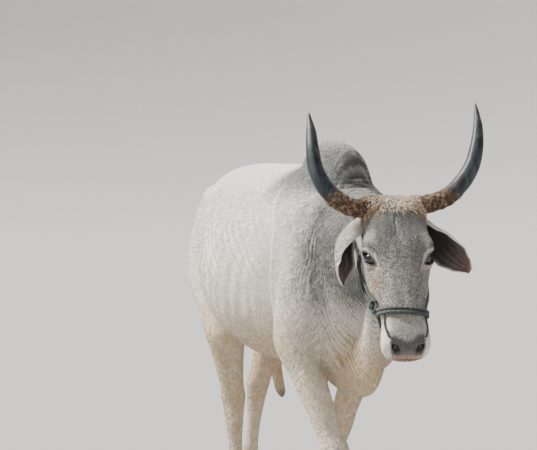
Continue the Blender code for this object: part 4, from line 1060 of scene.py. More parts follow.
def faceTones(local):
    # grey and tan of the face: paler on its sides, jaw and behind the poll, with a tan cheek;
    # the forehead's deep grey is partly painted shade, and the pale brow a painted highlight
    hx, hy, hz = local.T
    ax = np.abs(hx)
    folded = np.stack([ax, hy, hz], axis=1)
    # grey hair, deepest on the forehead and lighter down the nose; the forehead's depth is partly painted shade
    grey = 0.90 - 0.20 * ease(hy, -0.19, -0.30) - 0.06 * ease(hy, -0.34, -0.40)
    grey = grey - 0.26 * ease(ax, 0.056, 0.085) * ease(hy, -0.16, -0.22)
    grey = grey - 0.45 * ease(hz, -0.075, -0.13) + 0.10 * waver(local * (2.2, 0.5, 1.0), 40, 35)
    muzzleSide = ease(hy, -0.36, -0.42) * ease(ax, 0.040, 0.060)
    grey = grey - 0.50 * muzzleSide - 0.30 * ease(hy, 0.0, 0.035)
    # painted highlight: a pale patch over each brow
    browHighlight = 0.55 * gauss(folded, (0.080, -0.135, -0.015), (0.014, 0.030, 0.03))
    cheek = 0.75 * gauss(folded, (0.078, -0.262, -0.07), (0.022, 0.060, 0.05))
    tan = cheek + 0.12 + 0.30 * ease(hz, -0.12, -0.18) + 0.15 * muzzleSide
    return np.clip(grey - browHighlight, 0.04, 1), tan


def muzzleTones(local):
    # dark and pink of the muzzle: a slate pad over a mottled pink rim
    hx, hy, hz = local.T
    pink = ease(hy, -0.430, -0.452) * ease(hz, -0.109, -0.116) * ease(hz, -0.150, -0.140)
    pink = pink * ease(np.abs(hx), 0.056, 0.036) * (0.78 + 0.50 * waver(local, 230, 41))
    rim = np.clip(pink, 0, 1)
    dark = 0.90 * padMask(local) * (1 - 0.8 * rim)
    return np.maximum(dark, 0.62 * rim * ease(waver(local, 300, 47), -0.1, 0.5)), pink


def markEyes(local, tone):
    # dark lids and tear line with a pale ring round them whose upper part is a painted highlight,
    # wet inside, and the nostrils dark
    pad = padMask(local)
    for side in (1, -1):
        u, v, w, ring = eyeMeasure(local, side)
        lid = ease(ring, 1.42, 1.16)
        tear = np.exp(-(((v + 0.001) / 0.0026) ** 2)) * ease(u, 0.026, 0.030)
        tear = tear * ease(u, 0.042, 0.034) * (ring < 3)
        # pale hair round the eye, and a painted highlight on the ridge over the upper lid where the ring is
        # strongest
        pale = np.exp(-(((ring - 1.85) / 0.28) ** 2)) * (0.35 + 0.65 * ease(v, -0.004, 0.006))
        nostril = noseMeasure(local, side)
        hole = (1 - ease(nostril, 0.95, 1.25)) * (local[:, 1] < -0.435)
        for dark in (np.maximum(lid, 0.85 * tear) * (ring < 9), hole, 0.97 * pad * np.exp(-((nostril / 2.6) ** 2))):
            tone["dark"] = np.maximum(tone["dark"], dark)
        tone["grey"] = tone["grey"] * (1 - 0.70 * pale * (ring < 9))
        tone["wet"] = np.maximum(tone["wet"], ease(ring, 1.35, 1.1) * (ring < 9))


def markEars(ear, tone):
    # hollow of the ears dark and pinkish, the dark partly painted shade deepest towards the root,
    # their rims and backs white
    across, along, inner = ear.T
    hollow = inner * ease(np.abs(across), 0.99, 0.86)
    streaks = np.cos(across * 21 + 1.5 * np.sin(along * 5)) * ease(along, 0.30, 0.55)
    # the dark of the hollow fades towards the tip: dark skin, and painted shade that is deepest where the cup is
    # deepest
    depth = np.clip(0.97 - 0.34 * ease(along, 0.30, 0.95) - 0.10 * streaks, 0, 1)
    shares = {
        "grey": 0.05 + 0.25 * inner,
        "tan": 0.15,
        "dark": hollow * depth,
        "pink": hollow * (0.55 + 0.20 * ease(along, 0.5, 1.0)),
        "rust": 0.0,
        "wet": 0.0,
    }
    for name, share in shares.items():
        tone[name] = np.where(along > -1, share, tone[name])


def markEnds(points, tone):
    # grey sheath tip, partly painted shade under it, scrotum and coronets, and the end of the tail dark
    x, y, z = points.T
    # the grey at the sheath's tip is dark hair and painted shade underneath it
    sheath = ease(z, 0.505, 0.465) * ease(np.abs(x), 0.06, 0.04) * (np.abs(y - 0.12) < 0.09)
    scrotum = gauss(points, (0.010, 0.433, 0.66), (0.06, 0.06, 0.075)) * (np.abs(x - 0.01) < 0.05)
    for grey in (0.85 * sheath, 0.5 * ease(scrotum, 0.3, 0.8), 0.75 * ease(z, 0.125, 0.085)):
        tone["grey"] = np.maximum(tone["grey"], grey)
    tone["dark"] = np.maximum(tone["dark"], 0.9 * ease(y, 0.64, 0.66) * ease(z, 0.72, 0.64))


def markings(points, ear):
    # shares of grey, tan, dark, pink, rust and wet at each point, with painted shade in some of the grey, tan and
    # dark, and painted highlight in some of the paleness
    local = throughHead(points, inward=True)
    hx, hy, hz = local.T
    onHead = ease(hy - 0.55 * hz, 0.155, 0.095) * ease(hz, -0.250, -0.215)
    bodyGreyAndPaintedLight, bodyTanAndShade = bodyTones(points)
    faceGreyAndPaintedLight, faceTan = faceTones(local)
    dark, pink = muzzleTones(local)
    # painted shade: a dark line down the crease of the forehead
    creaseShade = 0.80 * np.exp(-((lineDistance(local, foreheadCrease)[0] / 0.0026) ** 2)) * onHead
    # painted shade: a dark line along the groove of the mouth
    lip = np.exp(-(((hz + 0.134) / 0.0035) ** 2)) * ease(hy, -0.362, -0.392) * (np.abs(hz + 0.135) < 0.03)
    rust = 0.62 * ease(hy, -0.020, 0.022) * ease(hz, -0.080, -0.045) * onHead
    burr = gauss(np.stack([np.abs(hx), hy, hz], axis=1), (0.076, -0.026, -0.012), (0.032, 0.036, 0.045))
    tone = {
        "grey": np.maximum((1 - onHead) * bodyGreyAndPaintedLight, onHead * faceGreyAndPaintedLight),
        "tan": np.clip(bodyTanAndShade * (1 - onHead) + onHead * faceTan, 0, 1),
        "dark": np.maximum(dark, np.maximum(creaseShade, 0.75 * lip)),
        "pink": pink,
        "rust": np.maximum(rust, 0.88 * burr) * (0.85 + 0.3 * waver(local, 120, 43)),
        "wet": 0.8 * padMask(local),
    }
    markEyes(local, tone)
    markEars(ear, tone)
    markEnds(points, tone)
    return np.clip(np.stack(list(tone.values()), axis=1), 0, 1)


def hairLie(points, normals, earWays, ear):
    # unit direction of the hair along the skin
    local = throughHead(points, inward=True)
    x, y, z = points.T
    hx, hy, hz = local.T
    one = np.ones(len(points))
    lie = np.stack([0 * x, 0.90 * one, -0.42 * one], axis=1)
    lie += ease(z, 1.16, 1.24)[:, None] * (0, 0.4, 0.40)
    front = ease(y, -0.30, -0.48)[:, None]
    lie = lie * (1 - front) + front * np.array([0, 0.55, -0.85])
    low = ease(z, 0.74, 0.62)[:, None]
    lie = lie * (1 - low) + low * np.array([0, 0.18, -1.0])
    rump = ease(y, 0.40, 0.55)[:, None]
    lie = lie * (1 - rump) + rump * np.array([0, 0.35, -1.0])
    lie[:, 0] += 0.10 * np.sign(x)
    swirl = 0.30 * waver(points, 9, 51)[:, None] * np.array([0, -0.5, 1.0])
    lie += swirl * (1 - low)
    # on the face the hair fans out from a whorl in the middle of the forehead
    whorl = np.stack([hx * 2.2, hy + 0.105 + 0 * hx, 0.3 * (hz - 0.01)], axis=1)
    whorl = unit(whorl) * ease(np.linalg.norm(whorl, axis=1), 0.0, 0.02)[:, None]
    down = np.stack([0.25 * np.sign(hx), -1.0 + 0 * hx, -0.35 + 0 * hx], axis=1)
    cheek = np.stack([0 * hx, 0.5 + 0 * hx, -1.0 + 0 * hx], axis=1)
    lower = ease(hy, -0.15, -0.24)[:, None]
    face = whorl * (1 - lower) + down * lower
    side = ease(hz, -0.060, -0.11)[:, None] * ease(np.abs(hx), 0.04, 0.07)[:, None]
    face = face * (1 - side) + cheek * side
    face = face @ np.array(head.to_3x3()).T / 0.97
    onHead = headNear(points)[:, None]
    lie = lie * (1 - onHead) + face * onHead
    lie = np.where((ear[:, 1] > -1)[:, None], earWays, lie)
    lie -= (lie * normals).sum(1)[:, None] * normals
    return unit(lie)


def dressSkin(whole):
    # details, then the ears joined on, as one mesh with its markings
    points = pointsOf(whole)
    normals = normalsOf(whole)
    flatFoot = points[:, 2] < hoofTop - 0.001
    points = headDetails(points, normals)
    depth = skinMake["coatDepth"] * (1 - 0.7 * headNear(points))
    points = points - normals * depth[:, None] * ~flatFoot[:, None]
    whole.data.calc_loop_triangles()
    tris = np.empty(len(whole.data.loop_triangles) * 3, np.int32)
    whole.data.loop_triangles.foreach_get("vertices", tris)
    tris = tris.reshape(-1, 3)
    ear = np.tile([0.0, -2.0, 0.0], (len(points), 1))
    ways = np.zeros((len(points), 3))
    for side in (1, -1):
        earPoints, faces, info, along = earPiece(side)
        earTris = facedOut(earPoints, trianglesOf(faces))
        tris = np.concatenate([tris, earTris + len(points)])
        points = np.concatenate([points, earPoints])
        ear = np.concatenate([ear, info])
        ways = np.concatenate([ways, along])
    normals = pointNormals(points, tris)
    marks = markings(points, ear)
    lie = hairLie(points, normals, ways, ear)
    old = whole.data
    bpy.data.objects.remove(whole)
    bpy.data.meshes.remove(old)
    made = meshPiece("skin", points, [tris])
    setMarks(made, marks)
    return made, {"points": points, "tris": tris, "normals": normals, "marks": marks, "lie": lie, "ear": ear}


def setMarks(thing, marks, shade=None):
    # two colour attributes hold the six shares, and one value the tuft's own shade
    for name, chosen in (("marks", marks[:, :3]), ("tints", marks[:, 3:6])):
        layer = thing.data.color_attributes.new(name, "FLOAT_COLOR", "POINT")
        colours = np.concatenate([chosen, np.ones((len(chosen), 1))], axis=1)
        layer.data.foreach_set("color", colours.astype(np.float32).ravel())
    if shade is not None:
        layer = thing.data.attributes.new("shade", "FLOAT", "POINT")
        layer.data.foreach_set("value", shade.astype(np.float32))


# Shader nodes


def node(tree, kind, inputs=None, **settings):
    made = tree.nodes.new("ShaderNode" + kind)
    for key, value in settings.items():
        setattr(made, key, value)
    for key, value in (inputs or {}).items():
        if isinstance(value, bpy.types.NodeSocket):
            tree.links.new(value, made.inputs[key])
        else:
            made.inputs[key].default_value = value
    return made


def mixed(tree, share, first, second, blend="MIX"):
    # colour mix; returns its colour socket
    made = tree.nodes.new("ShaderNodeMix")
    made.data_type = "RGBA"
    made.blend_type = blend
    for socket, value in ((made.inputs["Factor"], share), (made.inputs[6], first), (made.inputs[7], second)):
        if isinstance(value, bpy.types.NodeSocket):
            tree.links.new(value, socket)
        else:
            socket.default_value = value
    return made.outputs[2]


def rgba(colour):
    return (*colour, 1.0)


def sums(tree, operation, first, second=0.0, clamp=False):
    return node(tree, "Math", {0: first, 1: second}, operation=operation, use_clamp=clamp).outputs[0]


def noise(tree, place, scale, detail=3.0, rough=0.5):
    inputs = {"Vector": place, "Scale": scale, "Detail": detail, "Roughness": rough}
    return node(tree, "TexNoise", inputs).outputs["Fac"]


def stretched(tree, place, scale):
    # the place scaled by its own amount along each axis, for streaks
    return node(tree, "Mapping", {"Vector": place, "Scale": scale}).outputs[0]


def ramp(tree, value, low, high, lowTo=0.0, highTo=1.0):
    inputs = {"Value": value, "From Min": low, "From Max": high, "To Min": lowTo, "To Max": highTo}
    return node(tree, "MapRange", inputs).outputs["Result"]


def frayed(tree, share, speckle, amount):
    # breaks up the soft edge of a share by a noise, and leaves its full and empty places alone
    between = sums(tree, "MULTIPLY", share, sums(tree, "SUBTRACT", 1.0, share))
    shift = sums(tree, "MULTIPLY", sums(tree, "SUBTRACT", speckle, 0.5), 4 * amount)
    return sums(tree, "ADD", share, sums(tree, "MULTIPLY", between, shift), clamp=True)


def coatToneGroup():
    # colour of coat and bare skin from the six shares, broken up at three scales
    group = bpy.data.node_groups.new("coatTone", "ShaderNodeTree")
    for name, kind in (("Place", "Vector"), ("Marks", "Color"), ("Tints", "Color")):
        group.interface.new_socket(name, in_out="INPUT", socket_type="NodeSocket" + kind)
    shadeIn = group.interface.new_socket("Shade", in_out="INPUT", socket_type="NodeSocketFloat")
    shadeIn.default_value = 0.5
    group.interface.new_socket("Colour", in_out="OUTPUT", socket_type="NodeSocketColor")
    group.interface.new_socket("Wet", in_out="OUTPUT", socket_type="NodeSocketFloat")
    come = group.nodes.new("NodeGroupInput")
    leave = group.nodes.new("NodeGroupOutput")
    place = come.outputs["Place"]
    marks = node(group, "SeparateColor", {"Color": come.outputs["Marks"]})
    tints = node(group, "SeparateColor", {"Color": come.outputs["Tints"]})
    broad = noise(group, place, 7.0, 3.0)
    patchy = noise(group, place, 34.0, 3.0)
    grizzle = noise(group, place, 330.0, 2.0)
    grey = sums(group, "MULTIPLY", marks.outputs["Red"], ramp(group, broad, 0.3, 0.7, 0.88, 1.08), clamp=True)
    grey = frayed(group, grey, grizzle, 1.6)
    tan = sums(group, "MULTIPLY", marks.outputs["Green"], ramp(group, patchy, 0.3, 0.7, 0.78, 1.18), clamp=True)
    dim = rgba([0.95 * v for v in tones["white"]])
    colour = mixed(group, ramp(group, patchy, 0.35, 0.65), dim, rgba(tones["white"]))
    colour = mixed(group, tan, colour, rgba(tones["tan"]))
    colour = mixed(group, grey, colour, rgba(tones["grey"]))
    colour = mixed(group, frayed(group, tints.outputs["Green"], grizzle, 1.5), colour, rgba(tones["rust"]))
    colour = mixed(group, frayed(group, tints.outputs["Red"], grizzle, 1.2), colour, rgba(tones["pink"]))
    colour = mixed(group, frayed(group, marks.outputs["Blue"], grizzle, 1.0), colour, rgba(tones["dark"]))
    # each tuft is a little lighter or darker, and a fine grain runs over all of them
    lightness = ramp(group, come.outputs["Shade"], 0.0, 1.0, 0.80, 1.20)
    grain = ramp(group, grizzle, 0.3, 0.7, 0.93, 1.07)
    for value in (lightness, grain):
        level = node(group, "CombineColor", {0: value, 1: value, 2: value}).outputs[0]
        colour = mixed(group, 1.0, colour, level, "MULTIPLY")
    group.links.new(colour, leave.inputs["Colour"])
    group.links.new(tints.outputs["Blue"], leave.inputs["Wet"])
    return group


coatTone = coatToneGroup()


def freshMaterial(name):
    made = bpy.data.materials.new(name)
    made.use_nodes = True
    return made, made.node_tree, made.node_tree.nodes["Principled BSDF"]


def toneNode(tree, shade=None):
    place = node(tree, "TexCoord").outputs["Object"]
    tone = tree.nodes.new("ShaderNodeGroup")
    tone.node_tree = coatTone
    tree.links.new(place, tone.inputs["Place"])
    for name, key in (("marks", "Marks"), ("tints", "Tints")):
        tree.links.new(node(tree, "Attribute", attribute_name=name).outputs["Color"], tone.inputs[key])
    if shade:
        tree.links.new(node(tree, "Attribute", attribute_name=shade).outputs["Fac"], tone.inputs["Shade"])
    return place, tone


def skinMaterial():
    made, tree, shader = freshMaterial("skinAndShortCoat")
    place, tone = toneNode(tree)
    wet = tone.outputs["Wet"]
    tree.links.new(tone.outputs["Colour"], shader.inputs["Base Color"])
    tree.links.new(ramp(tree, wet, 0.0, 1.0, 0.88, 0.32), shader.inputs["Roughness"])
    hair = noise(tree, stretched(tree, place, (1.0, 0.35, 0.6)), 520.0, 2.0)
    creases = noise(tree, place, 95.0, 4.0, 0.6)
    height = sums(tree, "ADD", sums(tree, "MULTIPLY", hair, 0.5), creases)
    bump = node(tree, "Bump", {"Height": height, "Strength": 0.32, "Distance": 0.0022})
    tree.links.new(bump.outputs[0], shader.inputs["Normal"])
    shader.inputs["Sheen Weight"].default_value = 0.12
    shader.inputs["Sheen Roughness"].default_value = 0.5
    return made


def coatMaterial():
    made, tree, shader = freshMaterial("coatTufts")
    place, tone = toneNode(tree, "shade")
    tree.links.new(tone.outputs["Colour"], shader.inputs["Base Color"])
    shader.inputs["Roughness"].default_value = 0.70
    shader.inputs["Specular IOR Level"].default_value = 0.35
    shader.inputs["Sheen Weight"].default_value = 0.10
    return made


def dressSkinPiece():
    whole = fusedSkin()
    print("skin fused,", len(whole.data.vertices), "points")
    whole = refined(whole)
    made, info = dressSkin(whole)
    made.data.materials.append(skinMaterial())
    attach(made, "root")
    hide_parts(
        "torso", "hump", "neck", "dewlap", "head", "tail", "sheath", "scrotum",
        "foreleg_left", "foreleg_right", "hindleg_left", "hindleg_right", "ear_left", "ear_right",
    )
    print("skin dressed,", len(info["tris"]), "triangles")
    return info


skinInfo = dressSkinPiece()


# Eyes: a dark wet ball with a wide level pupil

eyeLooks = {
    "iris": (0.012, 0.010, 0.010),
    "pupil": (0.003, 0.0035, 0.006),
    "white": (0.030, 0.024, 0.022),
    "pupilWide": 0.55,
    "rings": 60,
    "sides": 64,
}


def reached(tree, across, rise):
    # distance from the middle of the eye
    squares = sums(tree, "ADD", sums(tree, "MULTIPLY", across, across), sums(tree, "MULTIPLY", rise, rise))
    return sums(tree, "SQRT", squares)


def eyeMaterial():
    made, tree, shader = freshMaterial("wetEye")
    turn = node(tree, "SeparateXYZ", {"Vector": node(tree, "UVMap", uv_map="look").outputs[0]})
    across, rise = turn.outputs["X"], turn.outputs["Y"]
    far = reached(tree, across, rise)
    pupil = reached(tree, sums(tree, "MULTIPLY", across, eyeLooks["pupilWide"]), rise)
    streak = noise(tree, node(tree, "TexCoord").outputs["Object"], 900.0, 2.0)
    iris = mixed(tree, streak, rgba(eyeLooks["iris"]), rgba([1.9 * v for v in eyeLooks["iris"]]))
    colour = mixed(tree, ramp(tree, pupil, 0.24, 0.30), rgba(eyeLooks["pupil"]), iris)
    colour = mixed(tree, ramp(tree, far, 0.66, 0.80), colour, rgba(eyeLooks["white"]))
    tree.links.new(colour, shader.inputs["Base Color"])
    shader.inputs["Roughness"].default_value = 0.20
    shader.inputs["Coat Weight"].default_value = 0.5
    shader.inputs["Coat Roughness"].default_value = 0.10
    return made


def eyePieces():
    # a sphere about the way the eye looks, its cornea a little raised
    finish = eyeMaterial()
    for side, name in ((1, "left"), (-1, "right")):
        centre, look, inner, up = eyeFrame(side)
        lift = np.linspace(0, math.pi, eyeLooks["rings"] + 2)[1:-1]
        c, s = turnSteps(eyeLooks["sides"])
        radius = eyeRadius * (1 + 0.030 * np.exp(-((lift / 0.55) ** 2))) - 0.0004
        flat = (radius * np.sin(lift))[:, None]
        rings = (
            (flat * c)[:, :, None] * inner + (flat * s)[:, :, None] * up
            + (radius * np.cos(lift))[:, None, None] * look
        )
        points, faces = closedLoft(rings + centre)
        tris = facedOut(points, trianglesOf(faces))
        made = meshPiece("eye" + name.capitalize(), throughHead(points), [tris])
        reach = (points - centre) / eyeRadius
        uv = np.stack([reach @ inner, reach @ up], axis=1)
        rim = uv / np.maximum(np.linalg.norm(uv, axis=1), 0.02)[:, None]
        mapPoints(made, "look", np.where((reach @ look)[:, None] > 0, uv, rim))
        made.data.materials.append(finish)
        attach(made, "root")
        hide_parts("eye_" + name)


eyePieces()
print("eyes in place")


# Horns: scaly and brown at the root, smooth dark slate above, ringed where they thicken

hornLooks = {
    "radius": 0.027,
    "taper": [1.0, 1.0, 0.98, 0.94, 0.86, 0.74, 0.52, 0.10],
    "paths": {
        "left": [
            (0.072, -0.010, -0.008), (0.108, -0.010, 0.001), (0.154, -0.004, 0.018),
            (0.200, 0.025, 0.047), (0.235, 0.070, 0.075), (0.255, 0.130, 0.096),
            (0.266, 0.197, 0.111), (0.268, 0.285, 0.126),
        ],
        "right": [
            (-0.072, -0.014, -0.008), (-0.119, -0.024, -0.003), (-0.169, -0.002, 0.011),
            (-0.209, 0.040, 0.030), (-0.229, 0.082, 0.049), (-0.236, 0.137, 0.071),
            (-0.237, 0.207, 0.087), (-0.241, 0.273, 0.099),
        ],
    },
    "rings": 220,
    "sides": 56,
    "slate": (0.040, 0.052, 0.064),
    "black": (0.010, 0.011, 0.013),
    "brown": (0.060, 0.034, 0.020),
    "scale": (0.27, 0.165, 0.095),
}


def hornMaterial():
    made, tree, shader = freshMaterial("hornSheath")
    place = node(tree, "TexCoord").outputs["Object"]
    along = node(tree, "SeparateXYZ", {"Vector": node(tree, "UVMap", uv_map="horn").outputs[0]}).outputs["Y"]
    wander = noise(tree, place, 22.0, 4.0)
    edge = sums(tree, "ADD", along, ramp(tree, wander, 0.3, 0.7, -0.06, 0.06))
    base = ramp(tree, edge, 0.25, 0.33, 1.0, 0.0)
    streak = noise(tree, stretched(tree, place, (1.0, 1.0, 0.25)), 60.0, 3.0)
    smooth = mixed(tree, ramp(tree, streak, 0.35, 0.65), rgba(hornLooks["black"]), rgba(hornLooks["slate"]))
    flakes = node(tree, "TexVoronoi", {"Vector": place, "Scale": 170.0, "Randomness": 1.0}, feature="F1")
    blotch = noise(tree, place, 70.0, 5.0, 0.65)
    rough = mixed(tree, ramp(tree, blotch, 0.44, 0.64), rgba(hornLooks["brown"]), rgba(hornLooks["scale"]))
    flaked = ramp(tree, flakes.outputs["Distance"], 0.45, 0.75, 0.0, 0.7)
    rough = mixed(tree, flaked, rough, rgba(hornLooks["black"]))
    tree.links.new(mixed(tree, base, smooth, rough), shader.inputs["Base Color"])
    tree.links.new(ramp(tree, base, 0.0, 1.0, 0.52, 0.85), shader.inputs["Roughness"])
    relief = sums(tree, "MULTIPLY", noise(tree, place, 190.0, 4.0, 0.65), ramp(tree, base, 0.0, 1.0, 0.12, 1.0))
    bump = node(tree, "Bump", {"Height": relief, "Strength": 0.7, "Distance": 0.0022})
    tree.links.new(bump.outputs[0], shader.inputs["Normal"])
    shader.inputs["Coat Weight"].default_value = 0.05
    shader.inputs["Specular IOR Level"].default_value = 0.30
    shader.inputs["Coat Roughness"].default_value = 0.25
    return made


def hornPieces():
    # a swept round form, its radius stepped by rings at the root, then smooth, with faint lengthwise grooves
    finish = hornMaterial()
    for name, path in hornLooks["paths"].items():
        count, sides = hornLooks["rings"], hornLooks["sides"]
        thick = hornLooks["radius"] * np.array(hornLooks["taper"])[:, None]
        rows = smoothRows(np.concatenate([throughHead(path), thick], axis=1), count)
        share = np.linspace(0, 1, count)
        tangent = unit(np.gradient(rows[:, :3], axis=0))
        side = unit(np.cross(tangent, (0.37, 0.93, 0.1)))
        rise = np.cross(side, tangent)
        c, s = turnSteps(sides)
        angle = np.arctan2(s, c)
        around = side[:, None] * c[None, :, None] + rise[:, None] * s[None, :, None]
        flat = (rows[:, None, :3] + around * rows[:, 3:4, None]).reshape(-1, 3)
        root = ease(share, 0.38, 0.24)[:, None]
        ring = 0.0009 * np.sin(share * 95 + 1.3 * np.sin(share * 31))[:, None] * root
        lump = (0.0011 * waver(flat, 90, 61) + 0.0009 * waver(flat, 210, 62)).reshape(count, sides) * root
        groove = 0.00022 * np.sin(7 * angle)[None] * (1 - root)
        wobble = 0.0006 * waver(flat, 30, 63).reshape(count, sides)
        radius = rows[:, 3:4] + (ring + lump + groove + wobble) * np.minimum(rows[:, 3:4] / 0.01, 1)
        tip = np.sqrt(np.clip((1 - share) / 0.02, 0.02, 1))[:, None]
        points, faces = closedLoft(rows[:, None, :3] + around * (radius * tip)[:, :, None])
        made = meshPiece("horn" + name.capitalize(), points, [facedOut(points, trianglesOf(faces))])
        uv = np.stack([np.tile(angle / 6.2832 + 0.5, count), np.repeat(share, sides)], axis=1)
        mapPoints(made, "horn", np.concatenate([uv, [[0.5, 0.0], [0.5, 1.0]]]))
        made.data.materials.append(finish)
        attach(made, "root")
        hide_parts("horn_" + name)


hornPieces()
print("horns in place")


# Hooves and dewclaws

hoofLooks = {
    "sides": 40,
    "rings": 34,
    "dark": (0.022, 0.019, 0.017),
    "pale": (0.11, 0.085, 0.06),
    "dust": (0.34, 0.27, 0.19),
}


def hoofForm(toe, inner):
    # level sole, sloped toe and flat top, with growth rings down the wall
    rows = np.array(
        [
            (0.0000, 0.0198, 0.0480, -0.010),
            (0.0020, 0.0210, 0.0500, -0.010),
            (0.0060, 0.0220, 0.0510, -0.009),
            (0.0300, 0.0217, 0.0458, -0.002),
            (hoofTop - 0.004, 0.0205, 0.0395, 0.006),
            (hoofTop, 0.0190, 0.0375, 0.007),
        ]
    )
    wall = np.linspace(0.004, hoofTop - 0.0006, hoofLooks["rings"] - 3)
    z = np.concatenate([[0.0, 0.002], wall, [hoofTop - 0.0001]])
    wide, along, shift = (np.interp(z, rows[:, 0], rows[:, k])[:, None] for k in (1, 2, 3))
    c, s = turnSteps(hoofLooks["sides"])
    ring = 0.00035 * np.sin(z * 900 + 2 * np.sin(z * 210))[:, None] * ease(z, 0.003, 0.008)[:, None]
    cleft = np.where(c * inner < 0, 0.86, 1.0)
    pointed = np.where(s < 0, 1.0 - 0.10 * np.abs(c), 1.0)
    x = toe[0] + inner * 0.0235 + (wide + ring) * signedPower(c, 0.8) * cleft
    y = toe[1] + shift + (along + ring) * signedPower(s, 0.85) * pointed
    return closedLoft(np.stack([x, y, np.repeat(z[:, None], hoofLooks["sides"], axis=1)], axis=2))


def hoofMaterial():
    made, tree, shader = freshMaterial("hoofHorn")
    place = node(tree, "TexCoord").outputs["Object"]
    rise = node(tree, "SeparateXYZ", {"Vector": place}).outputs["Z"]
    upright = noise(tree, stretched(tree, place, (1.0, 1.0, 0.10)), 260.0, 3.0)
    rings = noise(tree, stretched(tree, place, (0.08, 0.08, 1.0)), 260.0, 2.0)
    streaks = ramp(tree, upright, 0.40, 0.70, 0.0, 0.45)
    colour = mixed(tree, streaks, rgba(hoofLooks["dark"]), rgba(hoofLooks["pale"]))
    low = ramp(tree, rise, 0.0, 0.035, 1.0, 0.0)
    dust = sums(tree, "MULTIPLY", low, ramp(tree, noise(tree, place, 60.0), 0.35, 0.7, 0.0, 0.7))
    colour = mixed(tree, dust, colour, rgba(hoofLooks["dust"]))
    tree.links.new(colour, shader.inputs["Base Color"])
    tree.links.new(ramp(tree, upright, 0.3, 0.7, 0.50, 0.70), shader.inputs["Roughness"])
    height = sums(tree, "ADD", rings, sums(tree, "MULTIPLY", upright, 0.6))
    bump = node(tree, "Bump", {"Height": height, "Strength": 0.45, "Distance": 0.0014})
    tree.links.new(bump.outputs[0], shader.inputs["Normal"])
    return made


def hoofPieces():
    finish = hoofMaterial()
    hooves, claws, hoofNodes, clawNodes = [], [], [], []
    for key, joints in legJoints.items():
        tag = ("fore_" if key.startswith("fore") else "hind_") + ("left" if key.endswith("Left") else "right")
        way = np.sign(joints[-1][0])
        for name, inner in (("outer", way), ("inner", -way)):
            hooves.append(hoofForm(joints[-1], inner))
            hoofNodes.append(f"hoof_{tag}_{name}")
            joint = joints[-2]
            lean = np.array(Matrix.Rotation(math.radians(25), 3, "X"))
            place = (joint[0] + inner * 0.019, joint[1] + 0.036, joint[2] - 0.014)
            claws.append(ballForm(place, (0.0095, 0.012, 0.015), lean, 16, 22))
            clawNodes.append(f"dewclaw_{tag}_{name}")
    for name, forms, nodes in (("hooves", hooves, hoofNodes), ("dewclaws", claws, clawNodes)):
        faced = [(points, [facedOut(points, trianglesOf(faces))]) for points, faces in forms]
        made = meshPiece(name, *joined(faced))
        made.data.materials.append(finish)
        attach(made, "root")
        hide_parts(*nodes)


hoofPieces()
print("hooves in place")

# Coat: thin three-sided tufts along the skin

surface = BVHTree.FromPolygons(skinInfo["points"].tolist(), skinInfo["tris"].tolist())


def onSkin(points, lift):
    # the nearest places on the skin, raised along its normal
    found = [surface.find_nearest(Vector(p)) for p in points.tolist()]
    place, way = np.array([f[0][:] for f in found]), np.array([f[1][:] for f in found])
    return place + way * (lift[:, None] if np.ndim(lift) else lift), way


def hairShells(paths, half, thick, ups):
    # each section has a left, a right and a top point, and the last station is the tip
    along = unit(np.diff(paths, axis=1))
    side = unit(np.cross(along, ups))
    rise = np.cross(side, along)
    at = paths[:, :-1]
    low = at - rise * (0.4 * thick)[..., None]
    aside = side * half[..., None]
    section = np.stack([low - aside, low + aside, at + rise * (0.6 * thick)[..., None]], axis=2)
    count, rows = half.shape
    points = np.concatenate([section.reshape(count, -1, 3), paths[:, -1:]], axis=1)
    cells = [[0, 1, 2]]
    for row in range(rows - 1):
        for a, b in ((0, 1), (1, 2), (2, 0)):
            p, q = 3 * row + a, 3 * row + b
            cells += [[p, p + 3, q + 3], [p, q + 3, q]]
    last = 3 * (rows - 1)
    cells += [[last + a, 3 * rows, last + b] for a, b in ((0, 1), (1, 2), (2, 0))]
    tris = np.array(cells)[None] + points.shape[1] * np.arange(count)[:, None, None]
    return points.reshape(-1, 3), tris.reshape(-1, 3), points.shape[1]


def scattered(count, weight, seed):
    # roots spread over the skin's triangles by area and weight
    chance = np.random.default_rng(seed)
    tris = skinInfo["tris"]
    a, b, c = (skinInfo["points"][tris[:, k]] for k in range(3))
    share = np.cumsum(np.linalg.norm(np.cross(b - a, c - a), axis=1) * weight)
    picked = np.minimum(np.searchsorted(share, chance.random(count) * share[-1]), len(tris) - 1)
    u, v = chance.random(count), chance.random(count)
    over = u + v > 1
    u, v = np.where(over, 1 - u, u), np.where(over, 1 - v, v)
    parts = np.stack([1 - u - v, u, v], axis=1)[:, :, None]
    kinds = ("points", "normals", "marks", "lie", "ear")
    root = {kind: (skinInfo[kind][tris[picked]] * parts).sum(1) for kind in kinds}
    root["normals"], root["lie"] = unit(root["normals"]), unit(root["lie"])
    return root, chance


def tuftPiece(name, paths, half, thick, ups, marks, roots, finish, chance, replaced=None):
    # one mesh of tufts with its markings, shades, and a small patch each of the bake map at the root's place
    points, tris, each = hairShells(paths, half, thick, ups)
    made = meshPiece(name, points, [tris])
    grey = marks[:, 0]
    marks = marks.copy()
    marks[:, 0] = np.clip(grey + 2.2 * (chance.random(len(marks)) - 0.5) * grey * (1 - grey), 0, 1)
    setMarks(made, np.repeat(marks, each, axis=0), np.repeat(chance.random(len(marks)), each))
    rows = half.shape[1]
    across = np.concatenate([np.tile([-0.5, 0.5, 0.0], rows), [0.0]])
    along = np.concatenate([np.repeat(np.linspace(0, 0.7, rows), 3), [1.0]])
    along = along + 0.1 * np.append(np.tile([0, 0, 1], rows), 0)
    uv = roots[:, None] + 0.003 * np.stack([across, along], axis=1)[None]
    mapPoints(made, "OFBake", uv.reshape(-1, 2))
    made.data.materials.append(finish)
    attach(made, "root")
    if replaced:
        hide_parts(replaced)
    print(name, len(tris), "triangles")


